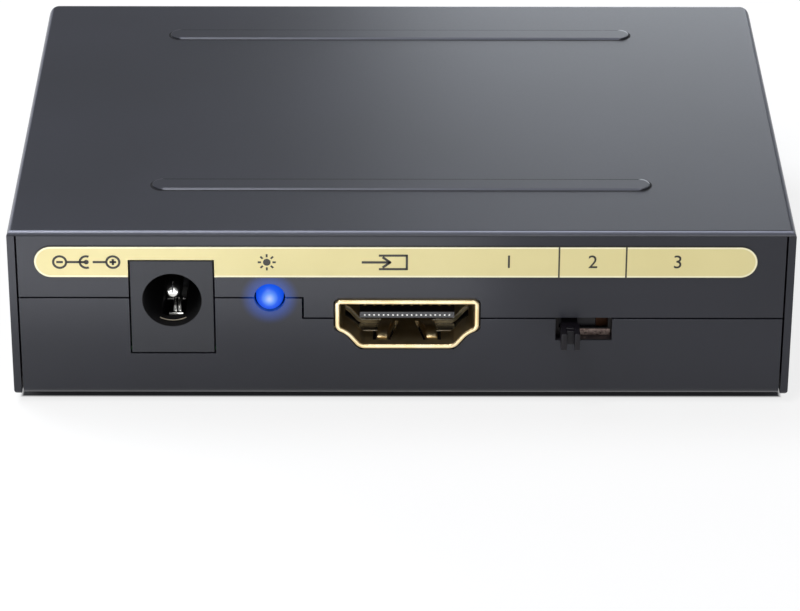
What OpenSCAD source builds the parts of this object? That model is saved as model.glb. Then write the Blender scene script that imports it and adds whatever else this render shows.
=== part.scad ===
/* [Case] */
// Width of the case
case_w = 83; // [80:1:110]
// Depth of the case
case_d = 59.8; // [56:0.2:90]
// Height of the case without its feet
case_h = 19.6; // [19.6:0.2:30]
// Thickness of the sheet steel
sheet_t = 0.8; // [0.6:0.1:1]
// Outside radius of the cover's bends
bend_r = 0.6; // [0.4:0.1:1.5]
// Outside radius of the tray's bends at its front and back edges
tray_bend_r = 1; // [0.4:0.1:1.5]
// Radius of the back corners, seen from above
back_corner_r = 2.3; // [1.5:0.1:5]
// Width of the seams between the cover and the tray
seam_gap = 0.2; // [0.1:0.05:0.4]
// Height of the flat strip of sheet left above the upright seams
seam_drop = 0.5; // [0.3:0.1:1.5]

/* [Stepped split] */
// Height of the split on the left, above the board
split_high = 6.6; // [5:0.1:9]
// Height of the split on the right, above the board
split_low = 4.15; // [3.6:0.05:5]
// Place of the front split's step, as a share of the case's half width
front_step_share = -0.2494; // [-0.26:0.0001:-0.22]
// Place of the back split's step, as a share of the case's half width
back_step_share = -0.0338; // [-0.07:0.0001:0]

/* [Top ribs] */
// Distance of each rib's ends from the case's sides
rib_inset = 14.75; // [8:0.05:25]
// Width of a rib at its foot
rib_w = 2.5; // [1.5:0.1:5]
// Height that a rib stands above the top
rib_h = 0.35; // [0.2:0.05:0.6]
// Width of a rib's sloped side
rib_slope = 0.4; // [0.2:0.05:0.7]
// Distance of the front rib from the front
front_rib_y = 11.2; // [8:0.2:20]
// Distance of the back rib from the back
back_rib_y = 8.9; // [7:0.1:20]

/* [Label bands] */
// Distance of the cream label band's ends from the case's sides
label_inset = 3.35; // [2.5:0.05:11]
// Height of the band
label_h = 3.7; // [2.5:0.1:3.9]
// Thickness of the band's foil
label_t = 0.1; // [0.05:0.01:0.2]
// Distance from the case's top down to the middle of the band
label_drop = 3.5; // [3:0.1:4]
// Sideways place of the band's middle on the front
label_x = -0.6; // [-1:0.1:1]

/* [Feet and fixings] */
// Diameter of a rubber foot
foot_d = 8; // [5:0.5:12]
// Height of a rubber foot
foot_h = 1; // [0.8:0.1:3]
// Distance of the feet from the case's sides, to their middle
foot_inset = 11; // [10:0.5:16]
// Diameter of the side screws
side_screw_d = 2; // [1.6:0.1:2.5]
// Diameter of the side screws' sunk heads
side_head_d = 3.9; // [3.4:0.1:4.4]
// Length of the side screws with their heads
side_screw_l = 3.4; // [2.6:0.1:3.6]
// Height of the side screws above the board
side_screw_rise = 2.8; // [2.4:0.1:4]
// Length of each tab that takes a side screw
tab_l = 8; // [6:0.5:12]
// Distance of the tabs from the front and the back, to their middle
tab_inset = 17; // [14:0.5:22]
// Diameter of the board screws
board_screw_d = 2.5; // [2:0.1:3]
// Diameter of the board screws' heads
board_head_d = 4.4; // [3.8:0.1:4.6]
// Height of the board screws' heads
board_head_h = 1.5; // [1:0.1:2]
// Diameter of a standoff
standoff_d = 4.8; // [4.2:0.1:6]
// Height of the standoffs under the board
standoff_h = 2.8; // [2.4:0.2:4]

/* [Board] */
// Thickness of the circuit board
board_t = 1.6; // [1:0.1:2]
// Gap between the board's edge and the sheet round it
board_gap = 0.5; // [0.3:0.1:1]
// Distance of the board's screws from its sides and its front edge
board_hole_inset = 3.8; // [3.4:0.1:5]
// Distance of the back pair of board screws from the case's back, behind the sockets
board_hole_back = 16; // [15.5:0.1:17.5]
// Gap between a connector and its cutout in the panel
panel_gap = 0.15; // [0.1:0.05:0.3]

/* [Power jack] */
// Place of the jack's bore, as a share of the case's half width
jack_share = -0.5855; // [-0.67:0.0001:-0.53]
// Width of the jack's block
jack_w = 8.8; // [8.4:0.1:9.2]
// Height of the jack's block
jack_h = 11; // [10.4:0.1:11.4]
// Whole depth of the jack
jack_d = 14.2; // [13:0.1:16]
// Depth of the square front part
jack_front_d = 3.6; // [3:0.1:6]
// Diameter of the bore
jack_bore_d = 6.2; // [6:0.1:6.6]
// Depth of the bore
jack_bore_l = 11.5; // [10:0.1:12]
// Height of the bore's middle above the board
jack_rise = 6.3; // [6:0.1:6.8]
// Diameter of the centre pin
jack_pin_d = 2; // [1.8:0.1:2.5]
// Distance of the pin's tip behind the face
jack_pin_recess = 1; // [0.5:0.1:2]

/* [Lamp] */
// Place of the lamp, as a share of the case's half width
lamp_share = -0.3361; // [-0.38:0.0001:-0.32]
// Diameter of the lamp's lens
lamp_d = 3; // [2.8:0.1:3.2]
// Length that the lens stands out of the panel
lamp_reach = 0.9; // [0.4:0.1:1.5]
// Length of the lens behind the panel's face
lamp_l = 4.2; // [3:0.1:6]
// Diameter of the lens's collar
lamp_collar_d = 3.8; // [3.5:0.1:4.2]

/* [Slide switch] */
// Place of the switch's slot, as a share of the case's half width
switch_share = 0.4675; // [0.46:0.0001:0.57]
// Width of the notch in the panel
switch_notch_w = 6; // [5.8:0.1:7]
// Travel of the knob from end to end
switch_travel = 3; // [2:0.1:3]
// Width of the knob
knob_w = 2; // [1.6:0.1:2.2]
// Height of the knob
knob_h = 2; // [1.6:0.1:2.1]
// Length that the knob stands out of the panel
knob_reach = 2.6; // [1.5:0.1:4]
// Height of the knob's middle above the board
knob_rise = 2.8; // [2.7:0.05:3]
// Length of the switch's steel frame
switch_w = 9.6; // [9.4:0.1:12]
// Height of the frame
switch_h = 5.2; // [5:0.1:5.4]
// Depth of the frame
switch_d = 3.8; // [3.6:0.1:5]
// Thickness of the frame's steel
switch_wall = 0.35; // [0.2:0.05:0.4]
// Distance of the frame behind the panel's face
switch_back = 1.1; // [1.1:0.1:1.6]

/* [Video sockets] */
// Place of the input socket, as a share of the case's half width
video_in_share = 0.0145; // [0:0.0001:0.07]
// Place of the output socket, as a share of the case's half width
video_out_share = 0.5783; // [0.5:0.0001:0.6]
// Width of a socket's shell
socket_w = 15.3; // [15:0.1:15.6]
// Height of a socket's shell
socket_h = 5.7; // [5.5:0.1:6]
// Thickness of the shell's rim
socket_wall = 0.5; // [0.3:0.05:0.5]
// Depth of a socket behind the panel's face
socket_d = 11; // [10:0.1:14]
// Length that the rim stands out of the panel
socket_reach = 0.4; // [0.2:0.1:1]
// Height of the shell above the board
socket_lift = 0.55; // [0.3:0.05:0.8]
// Width of the contact tongue
tongue_w = 9.9; // [9.6:0.1:10.5]
// Thickness of the contact tongue
tongue_t = 0.9; // [0.7:0.1:1.2]
// Height of the tongue's middle above the shell's foot
tongue_rise = 3.5; // [3.2:0.1:3.7]
// Number of contacts in a socket
contact_n = 19; // [15:2:19]
// Distance between neighbouring contacts
contact_pitch = 0.5; // [0.4:0.05:0.5]

/* [Optical socket] */
// Place of the optical socket, as a share of the case's half width
optical_share = 0.1566; // [0.15:0.0001:0.21]
// Width of the optical socket's housing
optical_w = 9.8; // [9.4:0.1:10.4]
// Height of the housing
optical_h = 9.8; // [9.4:0.1:10]
// Depth of the housing
optical_d = 13; // [12.5:0.1:15]
// Thickness of the housing's side walls
optical_wall = 1.1; // [0.9:0.1:1.2]
// Thickness of the shutter
shutter_t = 0.8; // [0.6:0.1:0.9]
// Distance of the shutter's pin behind the housing's face
shutter_back = 1; // [0.9:0.1:1.5]
// Distance of the shutter's pin below the cavity's ceiling
shutter_drop = 0.8; // [0.75:0.05:1]

/* [Audio sockets] */
// Place of the first audio socket, as a share of the case's half width
rca_share = -0.2771; // [-0.31:0.0001:-0.27]
// Distance between the two audio sockets
rca_pitch = 14; // [13:0.1:15]
// Outside diameter of a socket's sleeve
rca_d = 8.3; // [8.2:0.1:8.4]
// Thickness of the sleeve
rca_wall = 0.4; // [0.3:0.05:0.5]
// Length that a sleeve stands out of the panel
rca_reach = 9; // [8:0.1:11]
// Diameter of the centre hole
rca_hole_d = 3.3; // [3.2:0.1:3.5]
// Depth of the centre hole
rca_hole_l = 8; // [6:0.1:9]
// Height of the sockets' middle above the board
rca_rise = 6; // [5.8:0.1:6.4]
// Height of the socket block
rca_block_h = 11.4; // [11:0.1:12]
// Depth of the socket block
rca_block_d = 10; // [8:0.1:12]

/* [Hidden] */
$fn = 64;

// Overrun of every cut past the face that it leaves
over = 1;
// Gap of a screw, a plug or a spigot in its hole
fit_gap = 0.03;
// Gap round a piece that moves
run_gap = 0.1;

// Colours
case_colour = "#47484c";
band_colour = "#e2d69c";
steel_colour = "#b9bcc0";
brass_colour = "#d8b767";
gold_colour = "#e9cf9a";
black_colour = "#1c1c1f";
board_colour = "#1f5a3a";
chip_colour = "#26272a";

// Places of the case, with the origin under the middle of all that it carries
front_y = knob_reach - (knob_reach + case_d + rca_reach) / 2;
back_y = front_y + case_d;
case_z = foot_h;
board_top = case_z + sheet_t + standoff_h + board_t;
seam_x = case_w / 2 - sheet_t - seam_gap;
back_seam_x = case_w / 2 - back_corner_r - seam_gap;
seam_top = case_h - seam_drop;
board_rise = board_top - case_z;

// Places along the panels and lengths that follow the case's width
front_step_x = front_step_share * case_w / 2;
back_step_x = back_step_share * case_w / 2;
jack_x = jack_share * case_w / 2;
lamp_x = lamp_share * case_w / 2;
switch_x = switch_share * case_w / 2;
video_in_x = video_in_share * case_w / 2;
video_out_x = video_out_share * case_w / 2;
optical_x = optical_share * case_w / 2;
rca_left_x = rca_share * case_w / 2;
rib_l = case_w - 2 * rib_inset;
label_w = case_w - 2 * label_inset;

// Places of the board
tab_x = seam_x - sheet_t;
tab_top = board_top + side_screw_rise + side_head_d / 2 + sheet_t;
board_w = 2 * (tab_x - board_gap);
board_d = case_d - 2 * (sheet_t + board_gap);
board_mid_y = (front_y + back_y) / 2;
board_hole_x = board_w / 2 - board_hole_inset;
board_front_hole_y = board_mid_y - board_d / 2 + board_hole_inset;
board_back_hole_y = back_y - board_hole_back;
board_screw_grip = 2.2;

// Terminals that go through the board
lead_below = 1;
lead_gap = 0.15;
lead_l = board_t + lead_below;

// A block between two opposite corners
module block(low, high) translate(low) cube(high - low);

// A flat outline drawn in width and height, made solid between two depths
module upright(near, far) translate([0, far, 0]) rotate([90, 0, 0]) linear_extrude(far - near) children();

// A flat outline drawn in depth and height, made solid between two places along the width
module sideways(left, right)
    translate([left, 0, 0]) rotate([90, 0, 90]) linear_extrude(right - left) children();

// A half outline drawn in radius and depth, turned about the depth axis
module turned() rotate([-90, 0, 0]) rotate_extrude() children();

// A rectangle from its low corner, with all four corners rounded
module round_square(size, r) {
    translate([r, 0]) square([size.x - 2 * r, size.y]);
    translate([0, r]) square([size.x, size.y - 2 * r]);
    for (x = [r, size.x - r], y = [r, size.y - r]) translate([x, y]) circle(r);
}

// Four copies at the board's screws: one pair near its front corners, one behind the back sockets
module screw_places() for (s = [-1, 1], y = [board_front_hole_y, board_back_hole_y])
    translate([s * board_hole_x, y, 0]) children();

// A frame at the front panel: X to the right, Y into the case, Z up from the board
module at_front(x) translate([x, front_y, board_top]) children();

// The same frame at the back panel, seen from behind
module at_back(x) translate([x, back_y, board_top]) rotate([0, 0, 180]) children();

// A frame on the board, placed by shares of the board's width and depth from its middle
module on_board(share)
    translate([share.x * board_w, board_mid_y + share.y * board_d, board_top]) children();

// The outside of the closed case
module case_outside() intersection() {
    translate([0, 0, case_z]) linear_extrude(case_h) plan_outline(case_w / 2, back_y, back_corner_r);
    upright(front_y, back_y) translate([-case_w / 2, case_z]) round_square([case_w, case_h], bend_r);
    sideways(-case_w / 2, case_w / 2) translate([front_y, case_z]) round_square([case_d, case_h], bend_r);
}

// The case seen from above, square at the front and rounded at the back
module plan_outline(half_w, far, r, near = front_y) {
    translate([-half_w, near]) square([2 * half_w, far - near - r]);
    translate([r - half_w, near]) square([2 * (half_w - r), far - near]);
    for (s = [-1, 1]) translate([s * (half_w - r), far - r]) circle(r);
}

// The cover's front or back wall lacks this outline: what lies under the split, and two seams
module upper_gap_outline(side_x, step_x) {
    high = board_rise + split_high + seam_gap / 2;
    low = board_rise + split_low + seam_gap / 2;
    outer_x = side_x + seam_gap;
    polygon([[-outer_x, -over], [-outer_x, seam_top], [-side_x, seam_top], [-side_x, high],
        [step_x, high], [step_x, low], [side_x, low], [side_x, seam_top],
        [outer_x, seam_top], [outer_x, -over]]);
}

// The tray's front or back flange
module lower_flange_outline(side_x, step_x) {
    high = board_rise + split_high - seam_gap / 2;
    low = board_rise + split_low - seam_gap / 2;
    edge_x = step_x - seam_gap;
    polygon([[-side_x, 0], [-side_x, high], [edge_x, high], [edge_x, low],
        [side_x, low], [side_x, 0]]);
}

// Cutouts for the connectors
module panel_openings() {
    at_front(jack_x) upright(-over, sheet_t + over)
        translate([-jack_w / 2 - panel_gap, -panel_gap])
            square([jack_w + 2 * panel_gap, jack_h + 2 * panel_gap]);
    at_front(lamp_x) upright(-over, sheet_t + over)
        translate([0, split_high]) circle(lamp_d / 2 + panel_gap);
    at_front(switch_x) upright(-over, sheet_t + over)
        translate([-switch_notch_w / 2, knob_rise - knob_h / 2 - 2 * panel_gap])
            square([switch_notch_w, split_low + seam_gap / 2 - knob_rise + knob_h / 2 + 2 * panel_gap]);
    at_front(video_in_x) upright(-over, sheet_t + over) socket_outline(-panel_gap);
    at_back(video_out_x) upright(-over, sheet_t + over) socket_outline(-panel_gap);
    at_back(optical_x) upright(-over, sheet_t + over)
        translate([-optical_w / 2 - panel_gap, -panel_gap])
            square([optical_w + 2 * panel_gap, optical_h + 2 * panel_gap]);
    for (i = [0, 1]) at_back(rca_left_x - i * rca_pitch) upright(-over, sheet_t + over)
        translate([0, rca_rise]) circle(rca_d / 2 + 2 * panel_gap);
}

// A raised rib along X with sloped sides and round ends
module rib() {
    flat_w = rib_w / 2 - rib_slope;
    sideways((rib_w - rib_l) / 2, (rib_l - rib_w) / 2)
        polygon([[-rib_w / 2, 0], [-flat_w, rib_h], [flat_w, rib_h], [rib_w / 2, 0]]);
    for (s = [-1, 1]) translate([s * (rib_l - rib_w) / 2, 0, 0])
        rotate_extrude() polygon([[0, 0], [0, rib_h], [flat_w, rib_h], [rib_w / 2, 0]]);
}

module ribs(z) for (y = [front_y + front_rib_y, back_y - back_rib_y]) translate([0, y, z]) rib();

// Places of the side screws: each is a frame at the case's side, X pointing outwards
module side_places() for (side = [0, 180], y = [front_y + tab_inset, back_y - tab_inset])
    translate([0, y, board_top + side_screw_rise]) rotate([0, 0, side])
        translate([case_w / 2, 0, 0]) children();

// Half outline of a side screw, in radius and length, with its head's face at zero
side_head_l = (side_head_d - side_screw_d) / 2;
module side_screw_outline(gap) polygon([[0, gap], [side_head_d / 2 + gap, gap],
    [side_screw_d / 2 + gap, gap - side_head_l], [side_screw_d / 2 + gap, -side_screw_l],
    [0, -side_screw_l]]);

// A cross recess for a driver, sunk below the plane that it starts on
module cross_recess(d, depth) for (a = [0, 90]) rotate([0, 0, a])
    translate([-d / 2, -d * recess_share / 2, -depth]) cube([d, d * recess_share, depth + over]);
recess_share = 0.24;
head_recess_share = 0.55;
side_recess_depth = 0.6;
board_recess_depth = 0.8;

module top_cover() color(case_colour) difference() {
    union() {
        case_outside();
        ribs(case_z + case_h);
    }
    translate([0, 0, case_z - over]) linear_extrude(case_h - sheet_t + over)
        plan_outline(case_w / 2 - sheet_t, back_y - sheet_t, back_corner_r - sheet_t, front_y + sheet_t);
    ribs(case_z + case_h - sheet_t);
    upright(front_y - over, front_y + sheet_t + over) translate([0, case_z])
        upper_gap_outline(seam_x, front_step_x);
    upright(back_y - sheet_t - over, back_y + over) translate([0, case_z])
        upper_gap_outline(back_seam_x, back_step_x);
    panel_openings();
    side_places() rotate([0, 90, 0]) rotate_extrude() side_screw_outline(fit_gap);
}

module bottom_tray() color(case_colour) difference() {
    union() {
        intersection() {
            union() {
                block([-seam_x, front_y, case_z],
                    [seam_x, back_y - back_corner_r - seam_gap, case_z + sheet_t]);
                block([-back_seam_x, front_y, case_z],
                    [back_seam_x, back_y, case_z + sheet_t]);
                upright(front_y, front_y + sheet_t) translate([0, case_z])
                    lower_flange_outline(seam_x, front_step_x);
                upright(back_y - sheet_t, back_y) translate([0, case_z])
                    lower_flange_outline(back_seam_x, back_step_x);
            }
            sideways(-case_w / 2, case_w / 2) translate([front_y, case_z])
                round_square([case_d, case_h], tray_bend_r);
        }
        for (side = [0, 1], y = [front_y + tab_inset, back_y - tab_inset])
            mirror([side, 0, 0]) block([tab_x, y - tab_l / 2, case_z], [seam_x, y + tab_l / 2, tab_top]);
    }
    panel_openings();
    side_places() rotate([0, 90, 0]) rotate_extrude() side_screw_outline(fit_gap);
    screw_places() translate([0, 0, case_z - over])
        cylinder(d = spigot_d + 2 * fit_gap, h = sheet_t + 2 * over);
}

module side_screws() color(steel_colour) side_places() rotate([0, 90, 0]) difference() {
    rotate_extrude() side_screw_outline(0);
    cross_recess(side_head_d * head_recess_share, side_recess_depth);
}

// Rubber feet with a small chamfer round the tread
foot_chamfer = 0.3;
foot_x = case_w / 2 - foot_inset;
foot_y = case_d / 2 - foot_inset;
module rubber_feet() color(black_colour) for (sx = [-1, 1], sy = [-1, 1])
    translate([sx * foot_x, board_mid_y + sy * foot_y, 0]) rotate_extrude()
        polygon([[0, 0], [foot_d / 2 - foot_chamfer, 0], [foot_d / 2, foot_chamfer],
            [foot_d / 2, foot_h], [0, foot_h]]);

// Standoffs pressed into the tray, each tapped for a board screw
spigot_d = 4;
module standoffs() color(steel_colour) screw_places()
    translate([0, 0, case_z + sheet_t]) difference() {
        union() {
            cylinder(d = standoff_d, h = standoff_h);
            translate([0, 0, -sheet_t]) cylinder(d = spigot_d, h = sheet_t + standoff_h / 2);
        }
        translate([0, 0, -sheet_t - over])
            cylinder(d = board_screw_d + 2 * fit_gap, h = sheet_t + standoff_h + 2 * over);
    }

module board_screws() color(steel_colour) screw_places()
    translate([0, 0, board_top]) difference() {
        union() {
            translate([0, 0, -board_t - board_screw_grip])
                cylinder(d = board_screw_d, h = board_t + board_screw_grip + board_head_h / 2);
            cylinder(d = board_head_d, h = board_head_h);
        }
        translate([0, 0, board_head_h])
            cross_recess(board_head_d * head_recess_share, board_recess_depth);
    }

// A cream foil band with round ends, before the cutouts
module band_outline() {
    translate([(label_h - label_w) / 2, -label_h / 2]) square([label_w - label_h, label_h]);
    for (s = [-1, 1]) translate([s * (label_w - label_h) / 2, 0]) circle(label_h / 2);
}

band_z = case_z + case_h - label_drop;

module front_label() color(band_colour) difference() {
    upright(front_y - label_t, front_y) translate([label_x, band_z]) band_outline();
    panel_openings();
}

module back_label() color(band_colour) difference() {
    upright(back_y, back_y + label_t) translate([0, band_z]) band_outline();
    panel_openings();
}

module circuit_board() color(board_colour) difference() {
    block([-board_w / 2, board_mid_y - board_d / 2, board_top - board_t],
        [board_w / 2, board_mid_y + board_d / 2, board_top]);
    screw_places() translate([0, 0, board_top - board_t - over])
        cylinder(d = board_screw_d + 4 * panel_gap, h = board_t + 2 * over);
    at_front(jack_x) jack_lead_holes();
    at_front(lamp_x) lamp_lead_holes();
    at_front(switch_x) switch_lead_holes();
    at_front(video_in_x) socket_leg_holes();
    at_back(video_out_x) socket_leg_holes();
    at_back(optical_x) optical_lead_holes();
    for (i = [0, 1]) at_back(rca_left_x - i * rca_pitch) rca_lead_holes();
}

// A slot through the board for a flat lead whose middle and size are given
module lead_hole(x, y, size)
    translate([x - size.x / 2 - lead_gap, y - size.y / 2 - lead_gap, -board_t - over])
        cube([size.x + 2 * lead_gap, size.y + 2 * lead_gap, board_t + 2 * over]);

// Power jack: the barrel behind its square face is a little slimmer
jack_step = 0.3;
jack_leaf_w = 2;
jack_leaf_t = 0.3;
jack_slot_w = 2.6;
jack_slot_near = 2.4;
jack_slot_far = 12.4;
jack_rivet_d = 3;
jack_rivet_h = 0.4;
jack_blade = [2.4, 0.4];
// Places along the leaf where its ramp ends, its crown ends and its flat begins
jack_leaf_shares = [0.3, 0.5, 0.8];
jack_leaf_size = [jack_leaf_w, jack_leaf_t];
jack_leaf_y = jack_slot_far - run_gap - jack_leaf_t / 2;
jack_blade_y = jack_d + jack_blade.y / 2;

module jack_lead_holes() {
    lead_hole(0, jack_blade_y, jack_blade);
    lead_hole(0, jack_leaf_y, jack_leaf_size);
}

module jack_housing() color(black_colour) at_front(jack_x) difference() {
    barrel_r = jack_w / 2 - jack_step;
    union() {
        block([-jack_w / 2, 0, 0], [jack_w / 2, jack_front_d, jack_h]);
        block([-barrel_r, 0, 0], [barrel_r, jack_d, jack_rise]);
        upright(0, jack_d) translate([0, jack_rise]) circle(barrel_r);
    }
    upright(-over, jack_bore_l) translate([0, jack_rise]) circle(jack_bore_d / 2);
    upright(0, jack_d + over) translate([0, jack_rise]) circle(jack_pin_d / 2 + fit_gap);
    block([-jack_slot_w / 2, jack_slot_near, -over], [jack_slot_w / 2, jack_slot_far, jack_rise]);
}

// The pin has a ball tip and a flat head that clamps its terminal
module jack_pin() color(steel_colour) at_front(jack_x) translate([0, 0, jack_rise]) turned() {
    r = jack_pin_d / 2;
    head_y = jack_d + jack_blade.y;
    translate([0, jack_pin_recess + r]) intersection() {
        circle(r);
        translate([0, -r]) square([r, 2 * r]);
    }
    translate([0, jack_pin_recess + r]) square([r, head_y - jack_pin_recess - r]);
    translate([0, head_y]) square([jack_rivet_d / 2, jack_rivet_h]);
}

module jack_pin_terminal() color(brass_colour) at_front(jack_x) difference() {
    block([-jack_blade.x / 2, jack_d, -lead_l],
        [jack_blade.x / 2, jack_d + jack_blade.y, jack_rise + jack_pin_d]);
    upright(jack_d - over, jack_d + jack_blade.y + over)
        translate([0, jack_rise]) circle(jack_pin_d / 2 + fit_gap);
}

// A leaf that arches up into the bore from below and ends in a lead through the board
module jack_spring() color(brass_colour) at_front(jack_x) sideways(-jack_leaf_w / 2, jack_leaf_w / 2) {
    t = jack_leaf_t;
    low = jack_rise / 4;
    crest = jack_rise - jack_bore_d / 2 + t;
    near = jack_slot_near + 2 * run_gap;
    far = jack_slot_far - run_gap;
    bends = [for (share = jack_leaf_shares) near + (far - near) * share];
    polygon([[near, low], [bends[0], crest - t], [bends[1], crest - t],
        [bends[2], low], [far - t, low], [far - t, -lead_l], [far, -lead_l], [far, low + t],
        [bends[2], low + t], [bends[1], crest], [bends[0], crest], [near, low + t]]);
}

// Lamp: a domed lens with a collar, on two bent leads
lamp_collar_l = 1;
lamp_lead = 0.5;
lamp_lead_x = 1.27;
lamp_lead_bend = 1.6;
lamp_lead_y = lamp_l + lamp_lead_bend;

module lamp_lead_holes() for (s = [-1, 1]) lead_hole(s * lamp_lead_x, lamp_lead_y, [lamp_lead, lamp_lead]);

module lamp_lens() color("#2f6dff") at_front(lamp_x) translate([0, 0, split_high]) turned() {
    r = lamp_d / 2;
    translate([0, r - lamp_reach]) intersection() {
        circle(r);
        translate([0, -r]) square([r, 2 * r]);
    }
    translate([0, r - lamp_reach]) square([r, lamp_l + lamp_reach - r]);
    translate([0, lamp_l - lamp_collar_l]) square([lamp_collar_d / 2, lamp_collar_l]);
}

module lamp_leads() color(steel_colour) at_front(lamp_x) for (s = [-1, 1])
    sideways(s * lamp_lead_x - lamp_lead / 2, s * lamp_lead_x + lamp_lead / 2) {
        half = lamp_lead / 2;
        near = lamp_lead_y - half;
        far = lamp_lead_y + half;
        polygon([[lamp_l, split_high - half], [near, split_high - half], [near, -lead_l],
            [far, -lead_l], [far, split_high + half], [lamp_l, split_high + half]]);
    }

// Slide switch: a steel can over a plastic base, with the slider between them
switch_low = knob_rise - switch_h / 2;
switch_high = knob_rise + switch_h / 2;
switch_far = switch_back + switch_d;
base_t = 1.3;
base_near = switch_far - base_t;
terminal_w = 0.6;
terminal_t = 0.3;
terminal_n = 4;
terminal_pitch = 2;
terminal_reach = 1;
terminal_far = switch_far + terminal_reach;
frame_leg_w = 1.2;
slider_near = switch_back + switch_wall + run_gap;
slider_far = base_near - run_gap;
slider_w = switch_w - 2 * switch_wall - 2 * run_gap - switch_travel;
slider_h = switch_h - 2 * switch_wall - 2 * run_gap;
clip_t = 0.2;
clip_w = slider_w - 4 * clip_t;
clip_h = slider_h / 3;
clip_pocket_d = 3 * clip_t;
groove_share = 0.38;
groove_depth_share = 0.2;

module switch_lead_holes() {
    for (i = [0 : terminal_n - 1])
        lead_hole((i - (terminal_n - 1) / 2) * terminal_pitch, terminal_far - terminal_t / 2,
            [terminal_w, terminal_t]);
    for (s = [-1, 1])
        lead_hole(s * (switch_w - switch_wall) / 2, switch_back + switch_d / 2, [switch_wall, frame_leg_w]);
}

module switch_frame() color(steel_colour) at_front(switch_x) {
    slot_w = knob_w + switch_travel + 2 * run_gap;
    slot_h = knob_h + 2 * run_gap;
    difference() {
        block([-switch_w / 2, switch_back, switch_low], [switch_w / 2, switch_far, switch_high]);
        block([switch_wall - switch_w / 2, switch_back + switch_wall, switch_low + switch_wall],
            [switch_w / 2 - switch_wall, switch_far + over, switch_high - switch_wall]);
        block([-slot_w / 2, switch_back - over, knob_rise - slot_h / 2],
            [slot_w / 2, switch_back + 2 * over, knob_rise + slot_h / 2]);
    }
    for (s = [-1, 1]) translate([s * (switch_w - switch_wall) / 2, switch_back + switch_d / 2, 0])
        block([-switch_wall / 2, -frame_leg_w / 2, -lead_l], [switch_wall / 2, frame_leg_w / 2, knob_rise]);
}

module switch_base() color("#5b3a22") at_front(switch_x) difference() {
    block([switch_wall + fit_gap - switch_w / 2, base_near, switch_low + switch_wall + fit_gap],
        [switch_w / 2 - switch_wall - fit_gap, switch_far, switch_high - switch_wall - fit_gap]);
    terminals(fit_gap);
}

// Flat terminals that pass through the base and turn down to the board
module terminals(gap) for (i = [0 : terminal_n - 1])
    translate([(i - (terminal_n - 1) / 2) * terminal_pitch, 0, 0])
        sideways(-terminal_w / 2 - gap, terminal_w / 2 + gap) {
            t = terminal_t / 2 + gap;
            bend = terminal_far - 2 * t;
            polygon([[base_near - gap, knob_rise - t], [bend, knob_rise - t], [bend, -lead_l],
                [terminal_far, -lead_l], [terminal_far, knob_rise + t], [base_near - gap, knob_rise + t]]);
        }

module switch_terminals() color(brass_colour) at_front(switch_x) terminals(0);

// The slider is stored at the left end of its travel
module at_slider() at_front(switch_x) translate([-switch_travel / 2, 0, knob_rise]) children();

module switch_slider() color(black_colour) at_slider() difference() {
    groove_w = knob_w * groove_share;
    union() {
        block([-slider_w / 2, slider_near, -slider_h / 2], [slider_w / 2, slider_far, slider_h / 2]);
        block([-knob_w / 2, -knob_reach, -knob_h / 2], [knob_w / 2, slider_near, knob_h / 2]);
    }
    block([-groove_w / 2, -knob_reach - over, -knob_h],
        [groove_w / 2, knob_w * groove_depth_share - knob_reach, knob_h]);
    block([-clip_w / 2 - fit_gap, slider_far - clip_pocket_d, -clip_h / 2 - fit_gap],
        [clip_w / 2 + fit_gap, slider_far + over, clip_h / 2 + fit_gap]);
}

// A bridge of spring strip with two turned-in ends, carried in the slider's pocket
module switch_clip() color(brass_colour) at_slider() translate([0, 0, -clip_h / 2]) linear_extrude(clip_h)
    polygon([[-clip_w / 2, slider_far], [clip_w / 2, slider_far], [clip_w / 2, slider_far - clip_pocket_d],
        [clip_w / 2 - clip_t, slider_far - clip_pocket_d], [clip_w / 2 - clip_t, slider_far - clip_t],
        [clip_t - clip_w / 2, slider_far - clip_t], [clip_t - clip_w / 2, slider_far - clip_pocket_d],
        [-clip_w / 2, slider_far - clip_pocket_d]]);

// Half outline of a socket from its foot to its top, as shares of its half width and its height
socket_half_share = [[0.64, 0], [0.69, 0.05], [0.825, 0.27], [0.88, 0.32], [0.96, 0.355], [1, 0.42],
    [1, 0.93], [0.985, 0.975], [0.95, 1]];
shoulder_share = 0.42;
module socket_outline(inset) translate([0, socket_lift + inset]) {
    half_w = socket_w / 2 - inset;
    full_h = socket_h - 2 * inset;
    n = len(socket_half_share);
    right = [for (p = socket_half_share) [p.x * half_w, p.y * full_h]];
    left = [for (i = [1 : n]) [-right[n - i].x, right[n - i].y]];
    polygon(concat(right, left));
}

socket_leg_w = 1.2;
socket_leg_y_share = [0.2, 0.75];
insulator_d = 2.4;
tongue_recess = 0.6;
contact_w = 0.25;
contact_t = 0.12;
tail_step = 0.6;
tongue_low = socket_lift + tongue_rise - tongue_t / 2;
tongue_high = socket_lift + tongue_rise + tongue_t / 2;

module socket_leg_holes() for (s = [-1, 1], share = socket_leg_y_share)
    lead_hole(s * (socket_w - socket_wall) / 2, socket_d * share, [socket_wall, socket_leg_w]);

// The shell is an open tube with four legs that go through the board
module socket_shell() {
    upright(-socket_reach, socket_d) difference() {
        socket_outline(0);
        socket_outline(socket_wall);
    }
    for (s = [-1, 1], share = socket_leg_y_share)
        translate([s * (socket_w - socket_wall) / 2, socket_d * share, 0])
            block([-socket_wall / 2, -socket_leg_w / 2, -lead_l],
                [socket_wall / 2, socket_leg_w / 2, socket_lift + socket_h * (shoulder_share + 1) / 2]);
}

// Plastic that closes the back of the shell and carries the contact tongue
module socket_insulator() difference() {
    union() {
        upright(socket_d - insulator_d, socket_d) socket_outline(socket_wall + fit_gap);
        block([-tongue_w / 2, tongue_recess, tongue_low], [tongue_w / 2, socket_d, tongue_high]);
    }
    socket_contacts();
}

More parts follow.
